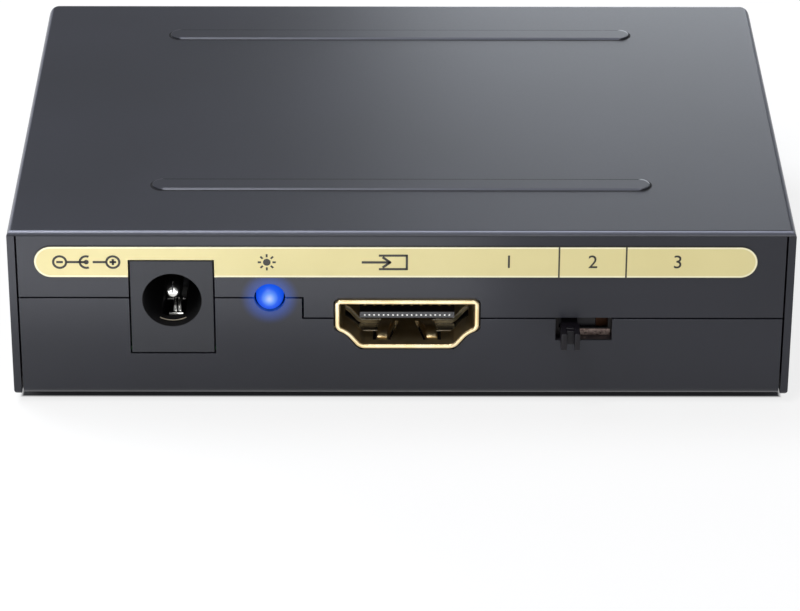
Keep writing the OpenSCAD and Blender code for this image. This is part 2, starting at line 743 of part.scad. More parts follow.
// Contacts let into the tongue's two faces in turn, with tails that step down to the board
module socket_contacts() for (i = [0 : contact_n - 1]) {
    upper = i % 2 == 0;
    x = (i - (contact_n - 1) / 2) * contact_pitch;
    far = socket_d + tail_step * (upper ? 2 : 1);
    low = upper ? tongue_high - contact_t : tongue_low;
    sideways(x - contact_w / 2, x + contact_w / 2)
        polygon([[tongue_recess, low], [far - contact_t, low], [far - contact_t, 0], [far, 0],
            [far, low + contact_t], [tongue_recess, low + contact_t]]);
}

module video_in_shell() color(gold_colour) at_front(video_in_x) socket_shell();
module video_in_insulator() color(black_colour) at_front(video_in_x) socket_insulator();
module video_in_contacts() color(gold_colour) at_front(video_in_x) socket_contacts();
module video_out_shell() color(gold_colour) at_back(video_out_x) socket_shell();
module video_out_insulator() color(black_colour) at_back(video_out_x) socket_insulator();
module video_out_contacts() color(gold_colour) at_back(video_out_x) socket_contacts();

// Optical socket: a square plastic housing with a sprung shutter behind its mouth
cavity_w = optical_w - 2 * optical_wall;
cavity_low = optical_wall;
cavity_high = optical_h - optical_wall;
emitter_pocket_d = 2.4;
web_far = optical_d - emitter_pocket_d;
web_t = 0.8;
light_hole_d = 2.4;
pin_d = 0.8;
pin_bearing_l = 0.6;
barrel_d = 1;
emitter_gap = 0.2;
emitter_t = 1.8;
optical_lead = 0.4;
optical_lead_n = 3;
optical_lead_pitch = 2.54;
optical_lead_y = web_far + emitter_t - emitter_gap;
shutter_z = cavity_high - shutter_drop;
spring_wire_d = 0.16;
spring_turns = 6;
spring_leg_l = 2.4;
spring_weld_share = 1.04;
spring_seat_w = spring_turns * spring_wire_d + 4 * run_gap;

module optical_lead_holes() for (i = [0 : optical_lead_n - 1])
    lead_hole((i - (optical_lead_n - 1) / 2) * optical_lead_pitch, optical_lead_y,
        [optical_lead, optical_lead]);

module optical_housing() color(black_colour) at_back(optical_x) difference() {
    block([-optical_w / 2, 0, 0], [optical_w / 2, optical_d, optical_h]);
    block([-cavity_w / 2, -over, cavity_low], [cavity_w / 2, web_far - web_t, cavity_high]);
    block([-cavity_w / 2, web_far, -over], [cavity_w / 2, optical_d + over, cavity_high]);
    upright(web_far - web_t - over, web_far + over) translate([0, optical_h / 2]) circle(light_hole_d / 2);
    shutter_rod(pin_d + run_gap, cavity_w + 2 * (pin_bearing_l + run_gap));
}

// A rod on the shutter's hinge line
module shutter_rod(d, l)
    translate([-l / 2, shutter_back, shutter_z]) rotate([0, 90, 0]) cylinder(d = d, h = l);

// A flap that hangs from its pin, with a notch at the middle for the spring
module optical_shutter() color("#2b2c30") at_back(optical_x) difference() {
    half_w = cavity_w / 2 - run_gap;
    union() {
        block([-half_w, shutter_back - shutter_t / 2, cavity_low + run_gap],
            [half_w, shutter_back + shutter_t / 2, shutter_z]);
        shutter_rod(barrel_d, 2 * half_w);
        shutter_rod(pin_d, cavity_w + 2 * pin_bearing_l);
    }
    difference() {
        block([-spring_seat_w / 2, -over, shutter_z - barrel_d],
            [spring_seat_w / 2, shutter_back + barrel_d, shutter_z + barrel_d]);
        shutter_rod(barrel_d - 3 * spring_wire_d, 2 * spring_seat_w);
    }
}

// Close turns of wire round the pin, with one leg that presses on the flap's back
module shutter_spring() color(steel_colour) at_back(optical_x) translate([0, shutter_back, shutter_z]) {
    coil_r = barrel_d / 2 - spring_wire_d / 2;
    leg_y = shutter_t / 2 + spring_wire_d / 2;
    rotate([0, 90, 0]) rotate_extrude() for (i = [0 : spring_turns - 1])
        translate([coil_r, (i - (spring_turns - 1) / 2) * spring_wire_d])
            circle(d = spring_wire_d * spring_weld_share);
    translate([0, leg_y, -spring_leg_l]) cylinder(d = spring_wire_d, h = spring_leg_l);
}

module optical_emitter() color(black_colour) at_back(optical_x) {
    half_w = cavity_w / 2 - emitter_gap;
    block([-half_w, web_far, cavity_low],
        [half_w, web_far + emitter_t, cavity_high - emitter_gap]);
    translate([0, web_far, optical_h / 2]) turned() {
        lens_r = light_hole_d / 2 - emitter_gap;
        intersection() {
            circle(lens_r);
            translate([0, -lens_r]) square([lens_r, lens_r + emitter_t / 2]);
        }
    }
}

module optical_leads() color(steel_colour) at_back(optical_x) for (i = [0 : optical_lead_n - 1])
    translate([(i - (optical_lead_n - 1) / 2) * optical_lead_pitch, optical_lead_y, 0])
        block([-optical_lead / 2, -optical_lead / 2, -lead_l],
            [optical_lead / 2, optical_lead / 2, cavity_low]);

// Audio sockets: two steel sleeves in one block, each with a coloured insert and a contact
rca_tail = [2.4, 0.4];
rca_seat_l = 1.6;
rca_block_gap = 0.2;
rca_block_near = sheet_t + rca_block_gap;
rca_end_w = 7;
rca_chamfer = 0.5;
rca_neck_l = 0.3;
rca_flange_d = 2.4;
rca_flange_l = 0.6;
rca_pin_d = 1.6;
rca_tail_y = rca_block_near + rca_tail.y;
rca_pin_tail_y = rca_block_near + rca_block_d + rca_pin_d / 2;

module rca_lead_holes() {
    lead_hole(0, rca_tail_y, rca_tail);
    lead_hole(0, rca_pin_tail_y, [rca_pin_d, rca_pin_d]);
}

// A frame at one audio socket, with its axis at zero height
module at_rca(i) at_back(rca_left_x - i * rca_pitch) translate([0, 0, rca_rise]) children();

module rca_block() color(black_colour) difference() {
    translate([-rca_pitch / 2, 0, 0]) at_back(rca_left_x)
        block([-rca_pitch / 2 - rca_end_w, rca_block_near, 0],
            [rca_pitch / 2 + rca_end_w, rca_block_near + rca_block_d, rca_block_h]);
    for (i = [0, 1]) at_rca(i) {
        upright(0, rca_block_near + rca_seat_l) circle(rca_d / 2 - rca_wall + fit_gap);
        upright(0, rca_block_near + rca_block_d + over) circle(rca_pin_d / 2 + fit_gap);
        block([-rca_tail.x / 2 - fit_gap, 0, -rca_rise - over],
            [rca_tail.x / 2 + fit_gap, rca_tail_y + rca_tail.y / 2 + fit_gap, 0]);
    }
}

// The sleeve's mouth is chamfered, its neck is one wall slimmer where it goes through the panel
// into the block, and its tail goes down through the block to the board
module rca_sleeve() {
    outer = rca_d / 2;
    inner = outer - rca_wall;
    far = rca_block_near + rca_seat_l;
    shoulder = -rca_neck_l - rca_wall;
    turned() polygon([[inner, rca_chamfer / 2 - rca_reach], [inner + rca_wall / 2, -rca_reach],
        [outer - rca_wall / 4, -rca_reach], [outer, rca_chamfer / 2 - rca_reach], [outer, -rca_neck_l],
        [inner, -rca_neck_l], [inner, far], [inner - rca_wall, far],
        [inner - rca_wall, shoulder], [inner, shoulder]]);
    translate([0, rca_tail_y, 0]) block([-rca_tail.x / 2, -rca_tail.y / 2, -rca_rise - lead_l],
        [rca_tail.x / 2, rca_tail.y / 2, rca_wall * 3 / 4 - inner]);
}

// The insert has a shallow step round its centre hole
module rca_insert() {
    outer = rca_d / 2 - rca_wall - fit_gap;
    hole = rca_hole_d / 2;
    face = rca_chamfer - rca_reach;
    far = rca_block_near + rca_seat_l;
    floor_y = face + rca_hole_l;
    pin = rca_pin_d / 2 + fit_gap;
    flange = rca_flange_d / 2 + fit_gap;
    shoulder = -rca_neck_l - rca_wall - fit_gap;
    turned() polygon([[hole, face], [outer, face], [outer, shoulder], [outer - rca_wall, shoulder],
        [outer - rca_wall, far], [pin, far], [pin, floor_y + rca_flange_l],
        [flange, floor_y + rca_flange_l], [flange, floor_y], [hole, floor_y]]);
}

// A headed pin at the bottom of the hole, with a tail behind the block
module rca_contact() {
    floor_y = rca_chamfer - rca_reach + rca_hole_l;
    far = rca_block_near + rca_block_d;
    turned() {
        translate([0, floor_y]) square([rca_flange_d / 2, rca_flange_l]);
        translate([0, floor_y]) square([rca_pin_d / 2, far + rca_pin_d / 2 - floor_y]);
    }
    translate([0, rca_pin_tail_y, 0])
        block([-rca_pin_d / 2, -rca_pin_d / 2, -rca_rise - lead_l],
            [rca_pin_d / 2, rca_pin_d / 2, rca_pin_d / 2]);
}

module rca_left_sleeve() color(gold_colour) at_rca(0) rca_sleeve();
module rca_right_sleeve() color(gold_colour) at_rca(1) rca_sleeve();
module rca_left_insert() color("#e9e9e4") at_rca(0) rca_insert();
module rca_right_insert() color("#b3201f") at_rca(1) rca_insert();
module rca_left_contact() color(brass_colour) at_rca(0) rca_contact();
module rca_right_contact() color(brass_colour) at_rca(1) rca_contact();

// Places on the board, as shares of its width and depth from its middle
main_chip_share = [0.06, 0.03];
audio_chip_share = [-0.152, 0.09];
control_chip_share = [0.31, 0.02];
regulator_share = [-0.35, -0.1];
crystal_share = [0.24, -0.17];
inductor_share = [-0.4, 0.08];
capacitor_shares = [[-0.22, -0.09], [-0.13, -0.22], [-0.285, 0.08]];
ceramic_row_shares = [[0, -0.15], [0.06, 0.2], [0.34, 0.17]];
resistor_row_shares = [[0.11, -0.2], [-0.17, 0.19], [0.33, -0.1]];

main_chip_size = [14, 14, 1.4];
audio_chip_size = [10, 6, 1.75];
control_chip_size = [7.2, 5.3, 1.7];
chip_pin_w = 0.3;
chip_pin_t = 0.15;
chip_pin_reach = 1;
chip_lift = 0.1;
quad_pin_n = 16;
quad_pin_pitch = 0.8;
small_pin_n = 8;
small_pin_pitch = 1.1;
control_pin_pitch = 0.8;

// A row of gull-wing pins along X that leaves the face at zero depth towards +Y
module pin_row(n, pitch, rise) for (i = [0 : n - 1]) {
    x = (i - (n - 1) / 2) * pitch;
    sideways(x - chip_pin_w / 2, x + chip_pin_w / 2) {
        t = chip_pin_t;
        bend = chip_pin_reach / 2;
        polygon([[-t, rise], [bend - t, rise], [bend - t, 0], [chip_pin_reach, 0], [chip_pin_reach, t],
            [bend, t], [bend, rise + t], [-t, rise + t]]);
    }
}

module chip_body(size)
    translate([-size.x / 2, -size.y / 2, chip_lift]) cube(size);

module main_chip() color(chip_colour) on_board(main_chip_share) {
    chip_body(main_chip_size);
    for (a = [0, 90, 180, 270]) rotate([0, 0, a]) translate([0, main_chip_size.y / 2, 0])
        pin_row(quad_pin_n, quad_pin_pitch, main_chip_size.z / 2);
}

module two_row_chip(size, pitch) {
    chip_body(size);
    for (a = [0, 180]) rotate([0, 0, a]) translate([0, size.y / 2, 0])
        pin_row(small_pin_n, pitch, size.z / 2);
}

module audio_chip() color(chip_colour)
    on_board(audio_chip_share) two_row_chip(audio_chip_size, small_pin_pitch);
module control_chip() color(chip_colour)
    on_board(control_chip_share) two_row_chip(control_chip_size, control_pin_pitch);

// Regulator: a plastic body with a wide tab behind and three pins in front
regulator_size = [6.5, 3.5, 1.6];
regulator_tab = [3, 1.8, 0.3];
regulator_pin_n = 3;
regulator_pin = [0.8, 1.8, 0.3];
regulator_pitch = 2.3;
module voltage_regulator() color(chip_colour) on_board(regulator_share) {
    chip_body(regulator_size);
    block([-regulator_tab.x / 2, 0, 0],
        [regulator_tab.x / 2, regulator_size.y / 2 + regulator_tab.y, regulator_tab.z]);
    for (i = [0 : regulator_pin_n - 1]) translate([(i - (regulator_pin_n - 1) / 2) * regulator_pitch, 0, 0])
        block([-regulator_pin.x / 2, -regulator_size.y / 2 - regulator_pin.y, 0],
            [regulator_pin.x / 2, 0, regulator_pin.z]);
}

// Crystal: a drawn can with round ends on a flange
crystal_size = [10.2, 3.8, 3.5];
crystal_rim = 0.4;
crystal_rim_t = 0.4;
module crystal_plan(rim) {
    w = crystal_size.x + 2 * rim;
    d = crystal_size.y + 2 * rim;
    translate([-w / 2, -d / 2]) translate([d / 2, 0]) square([w - d, d]);
    for (s = [-1, 1]) translate([s * (w - d) / 2, 0]) circle(d / 2);
}
module crystal() color(steel_colour) on_board(crystal_share) {
    linear_extrude(crystal_size.z) crystal_plan(0);
    linear_extrude(crystal_rim_t) crystal_plan(crystal_rim);
}

// Inductor: a ferrite block with a round window over its winding
inductor_size = [7.3, 7.3, 4];
inductor_window_d = 5.6;
inductor_window_depth = 0.8;
module power_inductor() color("#3a3b3e") on_board(inductor_share) difference() {
    translate([-inductor_size.x / 2, -inductor_size.y / 2, 0]) cube(inductor_size);
    translate([0, 0, inductor_size.z - inductor_window_depth]) difference() {
        cylinder(d = inductor_window_d, h = inductor_window_depth + over);
        cylinder(d = inductor_window_d / 2, h = inductor_window_depth);
    }
}

// Electrolytic capacitors: rolled cans, each on a square base
can_d = 6.3;
can_h = 7.7;
can_base = 6.6;
can_base_h = 0.9;
can_neck = 0.35;
module electrolytic_capacitors() color(steel_colour) for (share = capacitor_shares) on_board(share) {
    translate([-can_base / 2, -can_base / 2, 0]) cube([can_base, can_base, can_base_h]);
    rotate_extrude() polygon([[0, 0], [can_d / 2 - can_neck, 0], [can_d / 2 - can_neck, 2 * can_base_h],
        [can_d / 2, 2 * can_base_h + can_neck], [can_d / 2, can_h - can_neck],
        [can_d / 2 - can_neck, can_h], [0, can_h]]);
}

// Rows of small chip parts
ceramic_size = [1.25, 2, 1.25];
resistor_size = [0.8, 1.6, 0.45];
ceramic_n = 5;
resistor_n = 6;
row_pitch_share = 1.9;
module chip_rows(shares, n, size) for (share = shares, i = [0 : n - 1])
    on_board(share) translate([(i - n / 2) * size.x * row_pitch_share, -size.y / 2, 0]) cube(size);
module ceramic_capacitors() color("#b08d5b") chip_rows(ceramic_row_shares, ceramic_n, ceramic_size);
module chip_resistors() color(black_colour) chip_rows(resistor_row_shares, resistor_n, resistor_size);

top_cover();
bottom_tray();
side_screws();
rubber_feet();
standoffs();
board_screws();
front_label();
back_label();
circuit_board();
jack_housing();
jack_pin();
jack_pin_terminal();
jack_spring();
lamp_lens();
lamp_leads();
switch_frame();
switch_base();
switch_terminals();
switch_slider();
switch_clip();
video_in_shell();
video_in_insulator();
video_in_contacts();
video_out_shell();
video_out_insulator();
video_out_contacts();
optical_housing();
optical_shutter();
shutter_spring();
optical_emitter();
optical_leads();
rca_block();
rca_left_sleeve();
rca_right_sleeve();
rca_left_insert();
rca_right_insert();
rca_left_contact();
rca_right_contact();
main_chip();
audio_chip();
control_chip();
voltage_regulator();
crystal();
power_inductor();
electrolytic_capacitors();
ceramic_capacitors();
chip_resistors();
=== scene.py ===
# %% [markdown]
# # A small sound extractor box
# The object is a low sheet-steel box with sockets on its front and back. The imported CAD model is
# the fixed frame: it carries every size and every body that moves. This script dresses it. A piece
# whose solid is right is copied and gets soft edges and a real finish, and the pieces that the
# eye goes to first are modelled anew, in the same places.

# %% Load the frame
from math import atan2, cos, pi, radians, sin
import bmesh
import bpy
from mathutils import Matrix, Vector


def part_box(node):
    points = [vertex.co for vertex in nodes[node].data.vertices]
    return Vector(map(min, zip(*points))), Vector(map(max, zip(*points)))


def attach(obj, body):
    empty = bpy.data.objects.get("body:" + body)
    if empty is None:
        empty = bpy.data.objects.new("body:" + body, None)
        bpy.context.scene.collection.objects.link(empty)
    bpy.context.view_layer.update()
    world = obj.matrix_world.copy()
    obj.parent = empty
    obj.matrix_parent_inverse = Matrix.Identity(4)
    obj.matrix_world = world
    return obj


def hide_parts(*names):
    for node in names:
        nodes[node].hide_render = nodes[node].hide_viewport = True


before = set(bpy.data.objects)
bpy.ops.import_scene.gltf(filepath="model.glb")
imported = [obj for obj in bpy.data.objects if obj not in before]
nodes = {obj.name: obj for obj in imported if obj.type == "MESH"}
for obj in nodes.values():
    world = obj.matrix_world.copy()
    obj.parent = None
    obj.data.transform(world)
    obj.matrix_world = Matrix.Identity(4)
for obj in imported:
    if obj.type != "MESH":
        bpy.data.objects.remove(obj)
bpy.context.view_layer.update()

MM = 0.001

# %% [markdown]
# ## Camera
# The photograph was taken from the front and above with a long lens. The angles, the lens and the
# place come from a fit to the case's corners, so the render can be laid over the photograph. A
# camera looks along its own -Z, so its three axes are put together from the direction of view.

# %% Camera
PHOTO_W, FOCAL_PX, SENSOR = 800, 3705.64, 36.0
CAMERA_PLACE = (-2.135, -379.662, 196.714)


def in_scene(name, data):
    """A new object with its data, linked into the scene."""
    thing = bpy.data.objects.new(name, data)
    bpy.context.collection.objects.link(thing)
    return thing


pitch, yaw, roll = radians(28.0699), radians(0.3277), radians(0.2079)
forward = Vector((sin(yaw) * cos(pitch), cos(yaw) * cos(pitch), -sin(pitch)))
level = Vector((cos(yaw), -sin(yaw), 0.0))
upward = level.cross(forward)
right_axis = level * cos(roll) + upward * sin(roll)
up_axis = upward * cos(roll) - level * sin(roll)

camera_data = bpy.data.cameras.new("photo_camera")
camera_data.sensor_width = SENSOR
camera_data.lens = FOCAL_PX / PHOTO_W * SENSOR
camera = in_scene("photo_camera", camera_data)
camera.matrix_world = (Matrix.Translation(Vector(CAMERA_PLACE) * MM)
                       @ Matrix((right_axis, up_axis, -forward)).transposed().to_4x4())
bpy.context.scene.camera = camera
print("camera: lens", round(camera_data.lens, 1), "mm")

# %% [markdown]
# ## Places in millimetres
# Small hardware is easier to think of in millimetres. Each piece is drawn in a frame of its own, X
# along the panel, Y into the case and Z up from the board, and is carried to its place at the end.
# The places come from the CAD nodes, so nothing has to be fitted by eye.

# %% Places
def box_mm(node):
    """A node's lowest and highest corner in millimetres."""
    return [[value / MM for value in corner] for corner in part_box(node)]


def middle(node, axis):
    """The middle of a node along an axis, in millimetres."""
    low, high = box_mm(node)
    return (low[axis] + high[axis]) / 2


FRONT_Y, BACK_Y = box_mm("bottom_tray")[0][1], box_mm("bottom_tray")[1][1]
BOARD_TOP = box_mm("circuit_board")[1][2]


def at_front(x, z=BOARD_TOP):
    """The frame of a piece on the front panel."""
    return Matrix.Translation((x, FRONT_Y, z))


def at_back(x, z=BOARD_TOP):
    """The frame of a piece on the back panel, seen from behind."""
    return Matrix.Translation((x, BACK_Y, z)) @ Matrix.Rotation(pi, 4, "Z")


print("front", round(FRONT_Y, 2), "back", round(BACK_Y, 2), "board top", round(BOARD_TOP, 2))

# %% [markdown]
# ## Helpers for finishes
# Colours are written as they look on a screen, in hex, and Blender's sockets want linear light, so
# one function turns them. A shader is a small graph. One function adds a node to it with its
# settings and links, so that a material reads as a list of what it is made of. It uses another one
# that fills or links the inputs of any node. The last sets where a ramp changes its colour. The
# inputs of a Mix node share their names, so its two colours go by their numbers.

# %% Colour and node helpers
SHADER, COLOUR_A, COLOUR_B = "Principled BSDF", 6, 7


def linear(code):
    """An sRGB hex colour as linear red, green, blue and alpha."""
    shares = [int(code[i:i + 2], 16) / 255 for i in (1, 3, 5)]
    return [s / 12.92 if s <= 0.04045 else ((s + 0.055) / 1.055) ** 2.4 for s in shares] + [1.0]


def feed(node, inputs):
    """Fills inputs with values, or links them to a socket or to the first live output of a node."""
    for key, value in inputs.items():
        if isinstance(value, bpy.types.Node):
            value = next(output for output in value.outputs if output.enabled)
        if isinstance(value, bpy.types.NodeSocket):
            node.id_data.links.new(value, node.inputs[key])
        else:
            node.inputs[key].default_value = value


def add(tree, kind, inputs=None, **settings):
    """Adds a shader node of a kind, gives it its settings, and fills or links its inputs."""
    node = tree.nodes.new("ShaderNode" + kind)
    for key, value in settings.items():
        setattr(node, key, value)
    feed(node, inputs or {})
    return node


def stops(ramp, *pairs):
    """Sets the stops of a ramp, given in order as positions and hex colours."""
    elements = ramp.color_ramp.elements
    for element, (position, code) in ((elements[0], pairs[0]), (elements[-1], pairs[-1])):
        element.position, element.color = position, linear(code)
    for position, code in pairs[1:-1]:
        elements.new(position).color = linear(code)


def finish(name, slot, dark, light, roughness, grain_mm, relief_mm, patch_mm=9.0, spread=0.06,
           **sockets):
    """A finish with two close shades in soft patches, and a grain that varies gloss and height."""
    material = bpy.data.materials.new(name)
    material.use_nodes = True
    tree = material.node_tree
    place = add(tree, "TexCoord").outputs["Object"]
    patches = add(tree, "TexNoise", {"Vector": place, "Scale": 1 / (patch_mm * MM), "Detail": 3.0})
    shades = add(tree, "ValToRGB", {"Fac": patches})
    stops(shades, (0.35, dark), (0.65, light))
    grain = add(tree, "TexNoise", {"Vector": place, "Scale": 1 / (grain_mm * MM), "Detail": 2.0})
    gloss = add(tree, "MapRange", {"Value": grain, "From Min": 0.3, "From Max": 0.7,
                                   "To Min": roughness - spread, "To Max": roughness + spread})
    relief = add(tree, "Bump", {"Height": grain, "Distance": relief_mm * MM, "Strength": 1.0})
    feed(tree.nodes[SHADER], {"Base Color": shades, "Roughness": gloss, "Normal": relief,
                              **{key.replace("_", " "): value for key, value in sockets.items()}})
    return material


# %% [markdown]
# ## Finishes of the case
# The case is cold-rolled steel under a sprayed satin lacquer, dark grey with a touch of blue. Spray
# dries in a fine orange peel, about a third of a millimetre across, which breaks up reflections and
# gives the soft sheen. The colour itself is close to even. Rubber feet and zinc screws go with it.

# %% Case finishes
satin_lacquer = finish("satin_lacquer_on_steel", "case_paint", "#25262c", "#292a31", 0.29, 0.35,
                       0.0012, patch_mm=25.0, spread=0.015, Specular_IOR_Level=0.3)
zinc_screw = finish("zinc_plated_steel", "screw_steel", "#8a8d92", "#a2a5a9", 0.36, 0.15, 0.002,
                    patch_mm=1.2, Metallic=1.0)
rubber = finish("moulded_black_rubber", "foot_rubber", "#17171a", "#202024", 0.72, 0.2, 0.008,
                patch_mm=3.0)

# %% [markdown]
# ## Finishes of the sockets
# The rims are stamped steel with a gold flash, a very thin bright plating whose tone drifts a
# little. Springs and terminals are tinned or nickel plated, and the bodies are injection-moulded
# nylon with a spark-eroded texture of some hundredths of a millimetre, drawn coarser here so that
# it shows.

# %% Socket finishes
gold_flash = finish("gold_flash_on_stamped_steel", "gold_shell", "#e6cd9c", "#f1dfb6", 0.36, 0.25,
                    0.001, patch_mm=2.0, spread=0.05, Metallic=1.0)
gold_contact = finish("gold_plated_contact", "contact_metal", "#d9b25c", "#ecd08a", 0.22, 0.12,
                      0.001, patch_mm=0.8, spread=0.05, Metallic=1.0)
nickel = finish("nickel_plated_brass", "nickel", "#c4c3be", "#dbdad6", 0.17, 0.2, 0.001,
                patch_mm=1.0, spread=0.05, Metallic=1.0)
tin = finish("tinned_strip", "tin", "#a9a39d", "#c3bdb6", 0.33, 0.25, 0.006,
             patch_mm=0.8, spread=0.1, Metallic=1.0)
# A darker, browner tin for the strip under the switch slot.
brownish_tin = finish("brownish_dark_tinned_strip", "tin", "#6a5a55", "#8d7d76", 0.42, 0.2, 0.03,
                  patch_mm=0.5, spread=0.2, Metallic=1.0)
bare_edge = finish("bare_sheared_edge", "gold_shell", "#8c8474", "#a59c8a", 0.5, 0.2, 0.003,
                   patch_mm=0.6, Metallic=0.6)
# Near-black steel for the switch can: its dark colour is painted shade in the notch.
can_steel_painted_dark = finish("steel_painted_near_black", "tin", "#1c1a1b", "#2a2625", 0.5, 0.3, 0.01,
                    Metallic=0.7)
black_nylon = finish("moulded_black_nylon", "black_plastic", "#141417", "#1b1b1f", 0.45, 0.12,
                     0.004)
jack_nylon = finish("moulded_grey_nylon", "jack_plastic", "#26272b", "#2b2c31", 0.42, 0.14, 0.004,
                    Specular_IOR_Level=0.3)
knob_nylon = finish("moulded_black_nylon_knob", "black_plastic", "#0e0c11", "#151218", 0.36, 0.12,
                    0.004, Specular_IOR_Level=0.25)
# Paler nylon for the tongue's nose: a painted lit face on the black tongue.
lit_nose_nylon = finish("paler_nylon_painted_lit_nose", "black_plastic", "#3a3a3c", "#464648", 0.5,
                      0.12, 0.004)
white_plastic = finish("moulded_white_abs", "white_plastic", "#d9d8d2", "#e4e3dd", 0.32, 0.3, 0.002)
red_plastic = finish("moulded_red_abs", "red_plastic", "#a81c1c", "#b92423", 0.32, 0.3, 0.002)

# %% [markdown]
# ## What lies near a line
# Some finishes change near a line. The jack's bore is painted near-black as painted shade, the
# paint near the lamp glows blue as a painted halo, a rib has a crease round its foot with painted
# shade in it, and a cream band has a pale edge. Each starts from how far a point is from a middle
# line along X, seen flat, and a line of no length is an axis seen end on. So the measure is made
# once and used by each, in mm or in a unit of its own.

# %% Distance from a middle line
def distance(tree, centre, half_length=0.0, flat=(1, 0, 1), unit=1.0):
    """The distance in units of mm from a line, leaving out the axis that is 0 in flat."""
    at = add(tree, "TexCoord").outputs["Object"]
    for operation, by in (("SUBTRACT", [value * MM for value in centre]), ("MULTIPLY", flat),
                          ("ABSOLUTE", (0, 0, 0)), ("SUBTRACT", (half_length * MM, 0, 0)),
                          ("MAXIMUM", (0, 0, 0)), ("LENGTH", (0, 0, 0))):
        at = add(tree, "VectorMath", {0: at, 1: by}, operation=operation)
    return add(tree, "Math", {0: at, 1: unit * MM}, operation="DIVIDE")


JACK_X, JACK_Z = middle("jack_housing", 0), middle("jack_pin", 2)
LAMP_X, LAMP_Z = middle("lamp_lens", 0), middle("lamp_lens", 2)
BORE_R, BORE_DULLER, HALO_R, PANEL_DEPTH = 3.16, 0.3, 4.0, 0.5

jack_tree = jack_nylon.node_tree
in_bore = add(jack_tree, "Math", {0: distance(jack_tree, (JACK_X, 0, JACK_Z)), 1: BORE_R},
              operation="LESS_THAN")
# Inside the bore the nylon's colour is painted near-black as painted shade, and it is made duller.
bore_painted_shade = add(jack_tree, "Mix", {0: in_bore, COLOUR_A: jack_tree.nodes["Color Ramp"],
                                     COLOUR_B: linear("#08070a")}, data_type="RGBA")
bore_matt = add(jack_tree, "Math", {0: in_bore, 1: BORE_DULLER, 2: jack_tree.nodes["Map Range"]},
                operation="MULTIPLY_ADD")
feed(jack_tree.nodes[SHADER], {"Base Color": bore_painted_shade, "Roughness": bore_matt})

paint_tree = satin_lacquer.node_tree
# A painted halo: the front paint emits blue near the lamp, standing in for the lamp's light on the
# panel.
from_lamp = distance(paint_tree, (LAMP_X, 0, LAMP_Z), unit=HALO_R)
painted_lamp_glow = add(paint_tree, "ValToRGB", {"Fac": from_lamp})
painted_lamp_glow.color_ramp.interpolation = "EASE"
stops(painted_lamp_glow, (0.36, "#143a8a"), (0.82, "#000000"))
paint_place = paint_tree.nodes["Texture Coordinate"].outputs
paint_depth = add(paint_tree, "SeparateXYZ", {0: paint_place["Object"]}).outputs["Y"]
on_front = add(paint_tree, "Math", {0: paint_depth, 1: (FRONT_Y + PANEL_DEPTH) * MM},
               operation="LESS_THAN")
feed(paint_tree.nodes[SHADER], {"Emission Color": painted_lamp_glow, "Emission Strength": on_front})
print("bore", round(JACK_X, 2), round(JACK_Z, 2), "lamp", round(LAMP_X, 2), round(LAMP_Z, 2))

# %% [markdown]
# ## Foot line of the ribs
# The press leaves a sharp crease round the foot of each rib. There the paint is painted near-black,
# a painted shade line, and is made duller. The crease lies at an even distance from the rib's
# middle line, so that distance is measured for both ribs, and the nearer one counts.

# %% Distance from the ribs
RIB_YS, RIB_HALF_L, RIB_HALF_W = (FRONT_Y + 11.2, BACK_Y - 8.9), 25.5, 1.25
CREASE_HALF_W = 0.125
nearer = add(paint_tree, "Math", {i: distance(paint_tree, (0, y, 0), RIB_HALF_L, (1, 1, 0))
                                  for i, y in enumerate(RIB_YS)}, operation="MINIMUM")
# This mask marks the crease line, where the painted shade goes.
crease_painted_shade = add(paint_tree, "Math", {0: nearer, 1: RIB_HALF_W + CREASE_HALF_W, 2: CREASE_HALF_W},
                operation="COMPARE")
print("ribs at", [round(y, 2) for y in RIB_YS])

# %% [markdown]
# ## Painted highlight on the bends
# Along the upper bends the paint carries a painted highlight: it is made paler and partly metal
# there. A bend is where the surface leans: the upward part of its normal is neither nought nor one.
# A ramp over that part picks out the bends, and there the paint is paler and partly metal. On the
# ribs' short slopes the painted highlight is weaker.

# %% Painted highlight on the bends, painted shade in the crease
RIB_SHARE, METAL_SHARE, DULLER, FOOT_W = 0.55, 0.5, 0.6, 0.1
lean = add(paint_tree, "SeparateXYZ", {0: paint_place["Normal"]})
on_bend = add(paint_tree, "ValToRGB", {"Fac": lean.outputs["Z"]})
stops(on_bend, (0.3, "#000000"), (0.8, "#ffffff"), (0.93, "#ffffff"), (0.99, "#000000"))
off_ribs = add(paint_tree, "MapRange", {"Value": nearer, "To Min": RIB_SHARE,
                                        "From Min": RIB_HALF_W, "From Max": RIB_HALF_W + FOOT_W})
bend_painted_highlight = add(paint_tree, "Math", {0: on_bend, 1: off_ribs}, operation="MULTIPLY")
bend_highlight_metal = add(paint_tree, "Math", {0: bend_painted_highlight, 1: METAL_SHARE}, operation="MULTIPLY")
paint_colour = paint_tree.nodes["Color Ramp"]
# Paler paint on the bends is a painted highlight, and near-black in the crease is painted shade.
for share, code in ((bend_painted_highlight, "#62646e"), (crease_painted_shade, "#0b0b0d")):
    paint_colour = add(paint_tree, "Mix", {0: share, COLOUR_A: paint_colour,
                                           COLOUR_B: linear(code)}, data_type="RGBA")
crease_dull = add(paint_tree, "Math", {0: crease_painted_shade, 1: DULLER, 2: paint_tree.nodes["Map Range"]},
                  operation="MULTIPLY_ADD")
feed(paint_tree.nodes[SHADER], {"Base Color": paint_colour, "Metallic": bend_highlight_metal,
                                "Roughness": crease_dull})

# %% [markdown]
# ## Finishes of the board
# The board and its parts are out of sight in the closed case, yet they take their own finishes:
# green solder mask over copper tracks, epoxy chips with a sandy skin, drawn aluminium cans, fired
# ceramic, pressed ferrite and brown phenolic paper.

